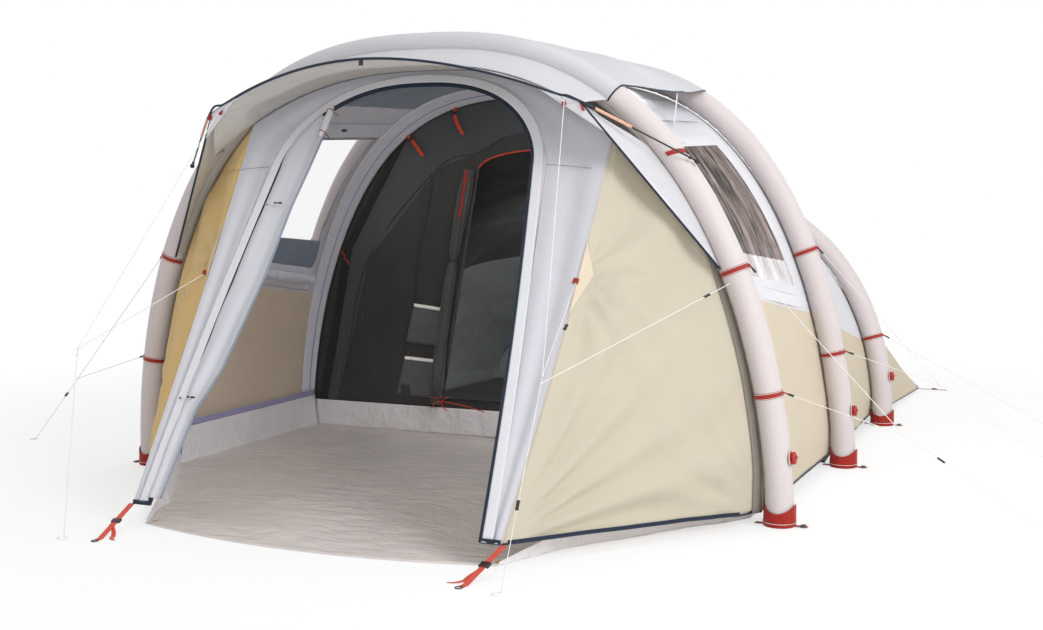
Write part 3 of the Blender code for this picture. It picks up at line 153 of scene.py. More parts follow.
# Corner straps and guy lines
STRAP_END = (0.750, -2.520)
STRAP_TOP_X = 0.790
SHEET_THICK = 0.003
WEBBING = 0.0025
FRONT_KNOT = np.array([0.965, -2.350, 0.685])
FRONT_PEG = np.array([0.897, -2.528, 0.0022])
SIDE_KNOT, SIDE_PEG = (1.957, -1.243, 0.381), (2.470, -1.000, 0.0022)
MIDDLE_KNOT, MIDDLE_PEG = (1.931, 0.000, 0.409), (2.470, 0.250, 0.0022)
REAR_PEG = (2.300, 1.620, 0.0022)
GUY_RADIUS = 0.0015
KNOT_SHARE = 2.2
BAND_HALF = 0.0022


# Finishes


def linear(colour):
    """A colour given as an 8-bit screen colour, in the linear values that a shader takes."""
    value = np.array(colour) / 255
    return np.where(value <= 0.04045, value / 12.92, ((value + 0.055) / 1.055) ** 2.4)


def set_values(node, values):
    """Sets a node's inputs and properties by name; stops are a ramp's (place, colour) pairs."""
    for key, value in values.items():
        entry = key.replace("_", " ")
        if key == "stops":
            stops = node.color_ramp.elements
            while len(stops) < len(value):
                stops.new(0.5)
            for stop, (place, colour) in zip(stops, value):
                stop.position, stop.color = place, (*colour, 1)
        elif key == "second":
            node.inputs[1].default_value = value
        elif entry in node.inputs:
            node.inputs[entry].default_value = value
        else:
            setattr(node, key, value)


def wire(tree, named, nodes, wires):
    """Adds a table of nodes, by kind and values, and wires such as "place.UV > warp.Vector"."""
    def socket(words, way):
        node, name = words.strip().split(".")
        sockets = getattr(named[node], way)
        return sockets[int(name)] if name.isdigit() else sockets[name]

    for short, (kind, values) in nodes.items():
        named[short] = tree.nodes.new("ShaderNode" + kind)
        set_values(named[short], values)
    for words in wires.split(","):
        start, end = words.split(">")
        tree.links.new(socket(start, "outputs"), socket(end, "inputs"))


def finish(name, nodes, wires, **values):
    """A material: its main shader's values, and the further nodes wired to it."""
    made = bpy.data.materials.new(name)
    made.use_nodes = True
    tree = made.node_tree
    named = {"shader": tree.nodes["Principled BSDF"], "out": tree.nodes["Material Output"]}
    set_values(named["shader"], values)
    wire(tree, named, {"place": ("TexCoord", {}), **nodes}, wires)
    return made


def bands(scale, way):
    """A wave texture of straight bands."""
    return "TexWave", dict(Scale=scale, wave_type="BANDS", bands_direction=way)


def noise(scale, detail, **values):
    """A noise texture."""
    return "TexNoise", dict(Scale=scale, Detail=detail, **values)


def bump(strength, distance):
    """A node that tilts the surface by a height."""
    return "Bump", dict(Strength=strength, Distance=distance)


TIMES = ("Math", dict(operation="MULTIPLY"))


def cloth_paint(name, colour, roughness, mottle, weave, crumple, sheen=0.15, crumple_scale=7,
                through=0.0, streak=(1, 1, 1), panels=None):
    """Woven tent cloth: a plain weave on the piece's UV map, faint mottling, and soft crumples.

    The weave is the product of two wave textures along U and V, the crumples are two octaves of
    noise on Object coordinates, stretched by streak, and both only tilt the surface. panels gives
    other colours, each where the attribute of its name is above 0.
    """
    base = linear(colour)
    tones = [(0.3, base * (1 - mottle)), (0.7, np.minimum(base * (1 + mottle), 1))]
    nodes = {
        "patch": noise(3.0, 5.0, Roughness=0.6), "tones": ("ValToRGB", dict(stops=tones)),
        "warp": bands(weave, "X"), "weft": bands(weave, "Y"), "threads": TIMES,
        "thin": ("Math", dict(operation="MULTIPLY", second=0.5)),
        "dark": ("MixRGB", dict(blend_type="MULTIPLY", Color2=(0.93, 0.93, 0.93, 1))),
        "stretch": ("Mapping", dict(Scale=streak)),
        "fold": noise(crumple_scale, 4.0, Roughness=0.55, Distortion=0.4),
        "wide": bump(crumple, 0.02), "fine": bump(0.12, 0.0004),
    }
    tone, wires = "tones", ""
    for field, shade in (panels or {}).items():
        nodes[field] = ("Attribute", dict(attribute_name=field))
        nodes[field + "_over"] = ("Math", dict(operation="GREATER_THAN", second=0))
        nodes[field + "_mix"] = ("MixRGB", dict(blend_type="MIX", Color2=(*linear(shade), 1)))
        wires += (f"{field}.Fac > {field}_over.0, {field}_over.Value > {field}_mix.Fac,"
                  f"{tone}.Color > {field}_mix.Color1,")
        tone = field + "_mix"
    wires += (f"{tone}.Color > dark.Color1, place.Object > patch.Vector, patch.Fac > tones.Fac,"
              "place.UV > warp.Vector, place.UV > weft.Vector, warp.Fac > threads.0,"
              "weft.Fac > threads.1, threads.0 > thin.0, thin.0 > dark.Fac,"
              "dark.Color > shader.Base Color, place.Object > stretch.Vector,"
              "stretch.Vector > fold.Vector, fold.Fac > wide.Height, threads.0 > fine.Height,"
              "wide.Normal > fine.Normal, fine.Normal > shader.Normal")
    if through:
        nodes["backlit"], nodes["both"] = ("BsdfTranslucent", {}), ("MixShader", dict(Fac=through))
        wires += (", dark.Color > backlit.Color, shader.BSDF > both.1, backlit.BSDF > both.2,"
                  "both.Shader > out.Surface")
    return finish(name, nodes, wires, Roughness=roughness, Sheen_Weight=sheen, Sheen_Roughness=0.4,
                  Specular_IOR_Level=0.3)


def webbing_paint(name, colour):
    """Woven webbing: ribs across the strap on its UV map, V along it and U across."""
    base = linear(colour)
    tones = [(0.0, base * 0.72), (1.0, np.minimum(base * 1.12, 1))]
    nodes = {"ribs": bands(260, "Y"), "cross": bands(130, "X"), "both": TIMES,
             "tones": ("ValToRGB", dict(stops=tones)), "bump": bump(0.5, 0.0006)}
    return finish(name, nodes, "place.UV > ribs.Vector, place.UV > cross.Vector,"
                  "ribs.Fac > both.0, cross.Fac > both.1, both.0 > tones.Fac,"
                  "tones.Color > shader.Base Color, both.0 > bump.Height,"
                  "bump.Normal > shader.Normal", Roughness=0.7, Sheen_Weight=0.2)


def plastic_paint(name, colour, roughness):
    """Moulded plastic with a fine spark-eroded grain and slight scuffs."""
    base = linear(colour)
    nodes = {"grain": noise(900.0, 3.0), "scuff": noise(60.0, 4.0), "bump": bump(0.15, 0.0002),
             "tones": ("ValToRGB", dict(stops=[(0.4, base), (0.8, base * 1.25 + 0.008)])),
             "rough": ("MapRange", dict(To_Min=roughness - 0.08, To_Max=roughness + 0.12))}
    return finish(name, nodes, "place.Object > grain.Vector, place.Object > scuff.Vector,"
                  "scuff.Fac > tones.Fac, tones.Color > shader.Base Color,"
                  "scuff.Fac > rough.Value, rough.Result > shader.Roughness,"
                  "grain.Fac > bump.Height, bump.Normal > shader.Normal")


def film_paint(name, *shades):
    """Window film, clear from inside; from outside painted a brownish dark with ragged upright
    streaks, as the shaded inside seen through it and reflections on it (painted shade and
    painted reflection).

    The streaks are two noises on the UV map, stretched along V and mixed; Alpha is low on a face
    seen from behind, as daylight shows through the film.
    """
    tones = list(zip((0.44, 0.475, 0.53, 0.62), map(linear, shades)))
    nodes = {
        "broad": ("Mapping", dict(Scale=(7.5, 1.5, 1))), "narrow": ("Mapping", dict(Scale=(42, 5.0, 1))),
        "shapes": noise(1.0, 6.0, Roughness=0.72, Distortion=0.9),
        "threads": noise(1.0, 4.0, Roughness=0.6),
        "both": ("MixRGB", dict(blend_type="MIX", Fac=0.3)), "tones": ("ValToRGB", dict(stops=tones)),
        "bump": bump(0.5, 0.004), "seen": ("NewGeometry", {}),
        "clear": ("MapRange", dict(To_Min=0.92, To_Max=0.05)),
    }
    return finish(name, nodes, "place.UV > broad.Vector, place.UV > narrow.Vector,"
                  "broad.Vector > shapes.Vector, narrow.Vector > threads.Vector,"
                  "shapes.Fac > both.Color1, threads.Fac > both.Color2, both.Color > tones.Fac,"
                  "tones.Color > shader.Base Color, both.Color > bump.Height,"
                  "bump.Normal > shader.Normal, seen.Backfacing > clear.Value,"
                  "clear.Result > shader.Alpha", Roughness=0.45, Specular_IOR_Level=0.2)


def clear_film_paint():
    """Clear film that the daylight shows through, faintly tinted and creased."""
    nodes = {"noise": noise(8.0, 3.0), "bump": bump(0.1, 0.002)}
    return finish("clear_film", nodes, "place.Object > noise.Vector, noise.Fac > bump.Height,"
                  "bump.Normal > shader.Normal", Base_Color=(0.95, 0.95, 0.96, 1), Alpha=0.05,
                  Roughness=0.1)


def mesh_paint():
    """Insect mesh: a fine grid of threads, close enough to read as a grey veil."""
    grid = dict(Scale=500.0, Color1=(0.30, 0.29, 0.28, 1), Color2=(0.26, 0.25, 0.24, 1),
                Mortar=(0.55, 0.53, 0.50, 1))
    return finish("insect_mesh", {"grid": ("TexBrick", grid)},
                  "place.UV > grid.Vector, grid.Color > shader.Base Color", Roughness=0.85)


# Cloths: name, colour, roughness, mottle, weave, crumple, sheen, crumple scale, through, streak,
# panels
CLOTHS = {
    "beam": ("beam_sleeve", (198, 189, 189), 0.5, 0.02, 700, 0.2, 0.2, 5),
    "beige": ("beige_cloth", (226, 214, 192), 0.72, 0.02, 900, 0.22, 0.15, 4, 0.3),
    "wing": ("wing_cloth", (212, 207, 192), 0.72, 0.02, 900, 0.22, 0.15, 4, 0.35),
    # The wing cloth again, painted a warm ochre as light shining through it from behind (painted
    # backlight).
    "wing_in": ("wing_cloth_inside", (236, 204, 142), 0.72, 0.02, 900, 0.22, 0.15, 4, 0.35),
    # The beige cloth again, painted darker and greyer as shade on its inside face.
    "beige_in": ("beige_cloth_inside", (212, 200, 186), 0.8, 0.03, 900, 0.25, 0.15, 7, 0.3),
    # The beige cloth painted darker and yellower, as shade on the left wing's seam patch.
    "khaki": ("khaki_patch", (204, 186, 148), 0.8, 0.03, 900, 0.2),
    "white": ("white_cloth", (236, 236, 240), 0.7, 0.012, 900, 0.16, 0.15, 7, 0.3),
    "roof": ("roof_cloth", (226, 226, 231), 0.6, 0.015, 900, 0.20, 0.2, 5, 0.4),
    # The roof cloth again, painted darker and warmer as shade and warm bounced light on its underside.
    "roof_in": ("roof_cloth_inside", (218, 214, 208), 0.75, 0.02, 900, 0.25, 0.15, 7, 0.4),
    "grey": ("grey_cloth", (216, 216, 223), 0.66, 0.015, 900, 0.22, 0.2, 5, 0.25),
    # The grey cloth again, painted darker as shade on its inside face.
    "grey_in": ("grey_cloth_inside", (206, 204, 208), 0.75, 0.02, 900, 0.25, 0.15, 7, 0.25),
    "lining": ("silver_lining", (214, 216, 226), 0.45, 0.03, 900, 0.6, 0.3, 16),
    "liner": ("liner_cloth", (130, 141, 158), 0.6, 0.05, 900, 0.6, 0.2, 9),
    "navy": ("navy_piping", (22, 36, 54), 0.55, 0.05, 2500, 0.05),
    "keder": ("grey_keder", (128, 122, 114), 0.6, 0.05, 2500, 0.05),
    "floor": ("groundsheet_cloth", (206, 199, 195), 0.40, 0.07, 1200, 1.0, 0.1, 7, 0, (1, 2.2, 1)),
    "upstand": ("upstand_cloth", (220, 217, 220), 0.40, 0.05, 1200, 1.0, 0.1, 11),
    "lilac": ("lilac_tape", (150, 148, 184), 0.7, 0.04, 1200, 0.1),
    "dark": ("dark_cloth", (66, 67, 66), 0.5, 0.12, 900, 0.5, 0.3, 7),
    "darker": ("dark_mesh_cloth", (48, 48, 47), 0.6, 0.10, 900, 0.4, 0.2, 7),
    "charcoal": ("charcoal_cloth", (88, 91, 94), 0.5, 0.10, 900, 0.5, 0.4, 8),
    "panelled": ("panelled_cloth", (54, 55, 54), 0.44, 0.12, 900, 0.9, 0.3, 7, 0, (1, 1, 0.5),
                 {"charcoal_panel": (70, 72, 75), "mesh_strip": (38, 38, 38)}),
    "hung": ("hung_cloth", (84, 86, 86), 0.5, 0.10, 900, 0.6, 0.3, 7, 0, (1, 1, 0.6),
             {"low_panel": (160, 165, 168)}),
    "boot": ("red_boot_cloth", (150, 30, 16), 0.65, 0.08, 900, 0.4, 0.2, 22),
    "thread": ("white_thread", (240, 240, 240), 0.6, 0.02, 2500, 0.05),
}
WEBBINGS = {
    "red": ("red_webbing", (160, 26, 12)), "orange": ("orange_webbing", (214, 62, 20)),
    "salmon": ("salmon_sleeve", (232, 178, 150)), "line": ("guy_line", (238, 238, 236)),
    "cord": ("guy_cord", (240, 240, 238)),
}
PLASTICS = {
    "red_plastic": ("red_plastic", (158, 30, 18), 0.42), "rod": ("rod_black", (28, 27, 27), 0.3),
    "black": ("black_plastic", (30, 29, 29), 0.4), "brass": ("brass_eyelet", (176, 140, 84), 0.3),
    "reflector": ("reflective_tape", (236, 236, 232), 0.35),
}
FILMS = {
    # These tones paint the shaded inside seen through the clear film and reflections on it; the foot's
    # set is paler.
    "film": ("window_film", (40, 38, 32), (84, 74, 68), (128, 112, 108), (170, 154, 152)),
    "pale_film": ("window_film_foot", (168, 162, 160), (196, 190, 189), (214, 210, 210),
                  (228, 226, 227)),
}
PAINT = {"clear": clear_film_paint(), "mesh": mesh_paint()}
for table, recipe in ((CLOTHS, cloth_paint), (WEBBINGS, webbing_paint), (PLASTICS, plastic_paint),
                      (FILMS, film_paint)):
    PAINT.update({key: recipe(*row) for key, row in table.items()})

# A slot name for each finish; no piece in this script is given its slot from this table
SLOTS = {
    **dict.fromkeys(("red", "orange", "salmon", "thread", "boot"), "red_webbing"),
    **dict.fromkeys(("dark", "darker", "charcoal", "hung", "panelled"), "dark_cloth"),
    **dict.fromkeys(("grey", "keder", "white", "navy"), "grey_cloth"),
    **dict.fromkeys(("floor", "upstand", "lilac", "brass"), "floor_cloth"),
    **dict.fromkeys(("roof", "roof_in"), "roof_cloth"),
    "beam": "air_beam", "beige": "fly_cloth", "black": "black_plastic", "film": "clear_film",
    "line": "line", "mesh": "mesh_cloth", "red_plastic": "red_plastic", "rod": "rod",
    "reflector": "dark_cloth",
}


# Surfaces


def unit(vectors):
    """The same vectors with length 1, for whole arrays."""
    return vectors / np.maximum(np.linalg.norm(vectors, axis=-1, keepdims=True), 1e-12)


def normals_of(grid):
    """The normal at each point of a grid: the cross product of its slopes along both ways."""
    return unit(np.cross(np.gradient(grid, axis=0), np.gradient(grid, axis=1)))


def waves(points, size, seed, count=7):
    """Smooth noise between -1 and 1: plane waves of about that size in seeded directions."""
    rng = np.random.default_rng(seed)
    ways = unit(rng.normal(size=(count, 3))) * (2 * math.pi / size) * rng.uniform(0.7, 1.4, (count, 1))
    phases = rng.uniform(0, 2 * math.pi, count)
    return np.sin(points @ ways.T + phases).sum(-1) / math.sqrt(count) / 1.5


def running(line):
    """The running length at each point of a line."""
    steps = np.linalg.norm(np.diff(line, axis=0), axis=-1)
    return np.concatenate([[0], np.cumsum(steps)])


def lengths_along(grid, axis):
    """Running length along one way of a grid, taken on its middle line."""
    return running(np.take(grid, grid.shape[1 - axis] // 2, axis=1 - axis))


def round_angles(count):
    """Even angles once round, the last one short of the first."""
    return np.linspace(0, 2 * math.pi, count, endpoint=False)


def inside(share, width, start=0.0):
    """How far inside a span's two ends a share of it lies: 0 at the ends, 1 past that width."""
    return np.clip((np.minimum(share, 1 - share) - start) / width, 0, 1)


def between(first, second, share):
    """Points along the straight line between two points or rows of points."""
    return first + (second - first) * np.asarray(share)[..., None]


def ruled(first, second, shares):
    """A grid of straight lines from one row of points to another, at the given shares."""
    return first[:, None] + (second - first)[:, None] * np.asarray(shares)[None, :, None]


def on_side(side, points):
    """The same points, mirrored for the left side."""
    return points if side == "right" else points * MIRROR


def mirrored(line):
    """A right half line or grid and its mirror image, joined at the middle."""
    return np.concatenate([line, line[-2::-1] * MIRROR])


def relief(grid, size, seed, broad=0.0020, fine=0.0007):
    """Pushes a grid of points along its normals by broad waves and finer ones."""
    push = broad * waves(grid, size, seed) + fine * waves(grid, size / 3.2, seed + 1)
    return grid + normals_of(grid) * push[..., None]


def pucker(grid, anchor, reach, count, depth, phase=0.0):
    """Tension folds that fan out from an anchor: a wave round it, fading with the distance."""
    normal = normals_of(grid)
    away = grid - anchor
    distance = np.linalg.norm(away, axis=-1)
    nearest = np.unravel_index(np.argmin(distance), distance.shape)
    first = unit(np.cross(normal[nearest], (0.3, 0.5, 0.81)))
    second = np.cross(normal[nearest], first)
    turn = np.arctan2(away @ second, away @ first)
    fade = np.exp(-distance / reach) * np.clip(distance / (0.25 * reach), 0, 1)
    wave = np.sin(count * turn + phase + 0.7 * np.sin(2.3 * turn))
    return grid + normal * (depth * fade * wave)[..., None]


def frame_axes(along, up=UP):
    """Three axes as rows: across the direction, along it, and up from both."""
    along = unit(np.asarray(along, float))
    across = unit(np.cross(along, up))
    return np.array([across, along, np.cross(across, along)])


def smooth(points, count):
    """Points at even steps on a smooth curve through the given ones (Catmull and Rom's cubic)."""
    points = np.asarray(points, float)
    padded = np.vstack([2 * points[0] - points[1], points, 2 * points[-1] - points[-2]])
    t = np.linspace(0, 1, 16, endpoint=False)[:, None]
    runs = []
    for a, b, c, d in zip(padded, padded[1:], padded[2:], padded[3:]):
        bend = (2 * a - 5 * b + 4 * c - d) * t**2 + (3 * b - a - 3 * c + d) * t**3
        runs.append((2 * b + (c - a) * t + bend) / 2)
    fine = np.vstack([*runs, points[-1:]])
    run = running(fine)
    at = np.linspace(0, run[-1], count)
    return np.stack([np.interp(at, run, fine[:, k]) for k in range(3)], -1)


def map_of(grid, u=None, v=None):
    """A grid's UV map in metres: its running lengths across and along, or the values given."""
    u = lengths_along(grid, 1)[None, :] if u is None else u
    v = lengths_along(grid, 0)[:, None] if v is None else v
    return np.stack([np.broadcast_to(way, grid.shape[:2]) for way in (u, v)], -1).reshape(-1, 2)


def grid_faces(rows, columns, closed):
    """The quads of a grid, as indices, wrapped round either way where it is closed."""
    i = np.arange(rows if closed[0] else rows - 1)
    k = np.arange(columns if closed[1] else columns - 1)
    i, k = np.meshgrid(i, k, indexing="ij")
    j, l = (i + 1) % rows, (k + 1) % columns
    return np.stack([i * columns + k, j * columns + k, j * columns + l, i * columns + l], -1)


def add_mesh(name, points, faces, paints, zones, uv, stands_for, body):
    """A piece from arrays of points and quads, with its UV map in metres and its finishes."""
    mesh = bpy.data.meshes.new(name)
    mesh.vertices.add(len(points))
    mesh.vertices.foreach_set("co", np.ascontiguousarray(points, np.float32).ravel())
    mesh.loops.add(4 * len(faces))
    mesh.loops.foreach_set("vertex_index", np.ascontiguousarray(faces, np.int32).ravel())
    mesh.polygons.add(len(faces))
    mesh.polygons.foreach_set("loop_start", np.arange(0, 4 * len(faces), 4, dtype=np.int32))
    for paint in paints:
        mesh.materials.append(PAINT[paint])
    if zones is not None:
        mesh.polygons.foreach_set("material_index", np.ascontiguousarray(zones, np.int32))
    mesh.update(calc_edges=True)
    mesh.validate()
    layer = mesh.uv_layers.new(name="cloth")
    layer.data.foreach_set("uv", np.ascontiguousarray(uv[faces], np.float32).ravel())
    mesh.shade_smooth()
    made = bpy.data.objects.new(name, mesh)
    bpy.context.scene.collection.objects.link(made)
    if stands_for:
        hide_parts(*stands_for)
    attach(made, body)
    return made


def surface(name, grid, paints, stands_for=(), zones=None, thickness=0.0012,
            closed=(False, False), body=ROOT, flip=False, wall=1, fields=None):
    """A panel over a grid of points: quads, a UV map in metres, and a thin wall by Solidify.

    zones gives each cell's finish, -1 for an open one. wall is how many finishes further down the
    list the inner face's finish lies. fields holds the points' values that a finish reads.
    """
    grid = np.asarray(grid, float)
    paints = [paints, paints] if isinstance(paints, str) else paints
    faces = grid_faces(*grid.shape[:2], closed)
    uv = map_of(grid)
    zones = np.zeros(faces.shape[:2], int) if zones is None else zones
    kept = zones >= 0
    quads = faces[kept][:, ::-1] if flip else faces[kept]
    points = grid.reshape(-1, 3)
    used, quads = np.unique(quads, return_inverse=True)
    quads = quads.reshape(-1, 4)
    made = add_mesh(name, points[used], quads, paints, zones[kept], uv[used], stands_for, body)
    for field, values in (fields or {}).items():
        layer = made.data.attributes.new(field, "FLOAT", "POINT")
        layer.data.foreach_set("value", np.asarray(values, np.float32).reshape(-1)[used])
    if thickness:
        skin = made.modifiers.new("wall", "SOLIDIFY")
        skin.thickness = thickness
        skin.offset = 0
        skin.material_offset = wall
        skin.material_offset_rim = 0
    return made


def solid(name, grid, paint, stands_for=(), body=ROOT, u=None, v=None, ring=False):
    """A closed piece over a grid of rings, or over a ring of rings.

    Its doubled points are merged, and its faces turned outwards.
    """
    faces = grid_faces(*grid.shape[:2], (ring, True)).reshape(-1, 4)
    made = add_mesh(name, grid.reshape(-1, 3), faces, [paint], None, map_of(grid, u, v),
                    stands_for, body)
    work = bmesh.new()
    work.from_mesh(made.data)
    bmesh.ops.remove_doubles(work, verts=work.verts, dist=1e-6)
    bmesh.ops.recalc_face_normals(work, faces=work.faces)
    work.to_mesh(made.data)
    work.free()
    return made


def capped(grid):
    """A tube's grid with its two ends drawn in to a point."""
    first, last = grid[:1].mean(1, keepdims=True), grid[-1:].mean(1, keepdims=True)
    ones = np.ones((1, grid.shape[1], 1))
    return np.concatenate([first * ones, grid, last * ones])


def tube(name, line, radius, paint, reference=FORE, sides=8, stands_for=(), body=ROOT,
         girth=None):
    """A round bar, roll or piping along a line, closed at both ends.

    Each ring spans the reference's cross product with the line's way. The radius is one number,
    or one for each point, or one for each point and angle; girth sets the UV map's width.
    """
    line = np.asarray(line, float)
    way = unit(np.gradient(line, axis=0))
    side = unit(np.cross(way, np.broadcast_to(reference, line.shape)))
    up = np.cross(side, way)
    turn = round_angles(sides)[None, :, None]
    radius = np.asarray(radius, float)
    radius = radius[:, None] if radius.ndim == 1 else radius
    reach = np.broadcast_to(radius, (len(line), sides))[..., None]
    ring = np.cos(turn) * side[:, None] + np.sin(turn) * up[:, None]
    girth = float(np.max(radius)) if girth is None else girth
    u = np.arange(sides)[None, :] * (2 * math.pi * girth / sides)
    return solid(name, capped(line[:, None] + ring * reach), paint, stands_for, body, u)


def strap(name, line, across, width, thickness, paint="red", stands_for=(), body=ROOT):
    """Flat webbing along a line: a rounded rectangle carried along, wide along across."""
    line = np.asarray(line, float)
    across = unit(np.broadcast_to(np.asarray(across, float), line.shape))
    up = unit(np.cross(unit(np.gradient(line, axis=0)), across))
    turn = round_angles(16) + math.pi / 16
    wide = np.sign(np.cos(turn)) * np.abs(np.cos(turn)) ** 0.25 * width / 2
    high = np.sign(np.sin(turn)) * np.abs(np.sin(turn)) ** 0.6 * thickness / 2
    grid = line[:, None] + across[:, None] * wide[None, :, None] + up[:, None] * high[None, :, None]
    return solid(name, capped(grid), paint, stands_for, body, wide[None, :])


def lump(name, centre, size, axes=np.eye(3), paint="black", powers=(0.35, 0.35), waist=0,
         stands_for=(), body=ROOT):
    """A moulded block with soft edges: a superellipsoid, drawn in at its waist if asked."""
    u = np.linspace(-math.pi / 2, math.pi / 2, 24)[:, None]
    v = np.linspace(-math.pi, math.pi, 32, endpoint=False)[None, :]

    def power(value, share):
        return np.sign(value) * np.abs(value) ** share

    x = power(np.cos(u), powers[0]) * power(np.cos(v), powers[1])
    y = power(np.cos(u), powers[0]) * power(np.sin(v), powers[1])
    z = power(np.sin(u), powers[0]) + 0 * v
    local = np.stack([x * (1 - waist * (1 - z**2)), y, z], -1) * np.asarray(size) / 2
    grid = np.asarray(centre) + local @ np.asarray(axes, float)
    return solid(name, grid, paint, stands_for, body, v * 0.01, u * 0.01)


def hoop(name, centre, first, second, radius, wire_radius, across, paint, count=48,
         sides=8):
    """A ring of cord: a circle in the plane of two directions, and a tube's circles round it."""
    turn = round_angles(count)[:, None]
    line = centre + (np.cos(turn) * first + np.sin(turn) * np.asarray(second)) * radius
    way = unit(np.roll(line, -1, axis=0) - np.roll(line, 1, axis=0))
    side = unit(np.broadcast_to(np.asarray(across, float), line.shape))
    up = np.cross(way, side)
    turn = round_angles(sides)[None, :, None]
    grid = line[:, None] + (np.cos(turn) * side[:, None] + np.sin(turn) * up[:, None]) * wire_radius
    return solid(name, grid, paint, ring=True)


# The beams' centre lines and the skins between them


def angle_at(arch, height):
    """The angle along a beam, from its right foot, at which its centre line is that high."""
    power = ROUND_POWERS[arch][1]
    return np.arcsin(np.clip(np.asarray(height) / ARCHES[arch][1], 0, 1) ** (power / 2))


def beam_point(arch, angle, out=0.0, forward=0.0):
    """A point of the rounded arch |x/w|^n + |z/h|^m = 1, moved out across it and along Y."""
    half_width, height, foot_y, lean = ARCHES[arch]
    n, m = ROUND_POWERS[arch]
    angle = np.asarray(angle, float)
    c, s = np.cos(angle), np.sin(angle)
    x = np.sign(c) * np.abs(c) ** (2 / n)
    z = np.abs(s) ** (2 / m)
    nx = n * np.sign(x) * np.abs(x) ** (n - 1) / half_width
    nz = m * z ** (m - 1) / height
    size = np.hypot(nx, nz)
    out = np.asarray(out, float)
    return np.stack([
        x * half_width + out * nx / size,
        foot_y + lean * z + forward + 0 * out,
        z * height + out * nz / size,
    ], -1)


def outwards(arch, angle):
    """The direction straight out of the beam at an angle."""
    return beam_point(arch, angle, 1.0) - beam_point(arch, angle)


def stations(arch):
    """The angles of the stations that the panels follow, from hem to hem."""
    height = ARCHES[arch][1]
    keys = [angle_at(arch, HEM_HEIGHT)]
    keys += [angle_at(arch, share * height) for share in KEY_SHARES[arch]]
    keys.append(math.pi / 2)
    right = [keys[0]]
    for low, high, steps in zip(keys, keys[1:], KEY_STEPS):
        right += [low + (high - low) * (i + 1) / steps for i in range(steps)]
    right = np.array(right)
    return np.concatenate([right, math.pi - right[-2::-1]])


STATIONS = {arch: stations(arch) for arch in ARCHES}


def at_row(arch, row):
    """The angle at a station counted with fractions."""
    return np.interp(row, np.arange(LAST_ROW + 1), STATIONS[arch])


def tuck(row):
    """How much further in the cloth lies at its hem, behind the boots."""
    return HEM_TUCK * np.clip(1 - np.minimum(row, LAST_ROW - row), 0, 1)


def living_skin(row, share, inset=SEAT):
    """The living room's fly, straight from the front beam to the middle one."""
    inset = inset + tuck(row)
    front = beam_point("front", at_row("front", row), -inset)
    return between(front, beam_point("middle", at_row("middle", row), -inset), share)


def bedroom_skin(row, share, inset=SEAT):
    """The fly over the bedroom, from the middle beam down to the rear one.

    At the rear beam it lies farther in by the secant of its slope, so that it clears the beam.
    """
    inset = inset + tuck(row)
    high = beam_point("middle", at_row("middle", row), -inset)
    angle = at_row("rear", row)
    low = beam_point("rear", angle, -inset)
    fall = np.sum((high - low) * outwards("rear", angle), -1)
    slope = np.maximum(fall, 0) / np.abs(high[..., 1] - low[..., 1])
    return between(high, beam_point("rear", angle, -inset * np.sqrt(1 + slope**2)), share)


def node_points(name):
    """The places of a CAD node's points."""
    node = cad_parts[name]
    points = np.empty(3 * len(node.data.vertices), np.float32)
    node.data.vertices.foreach_get("co", points)
    place = np.array(node.matrix_world)
    return points.reshape(-1, 3) @ place[:3, :3].T + place[:3, 3]


# Camera, light and floor


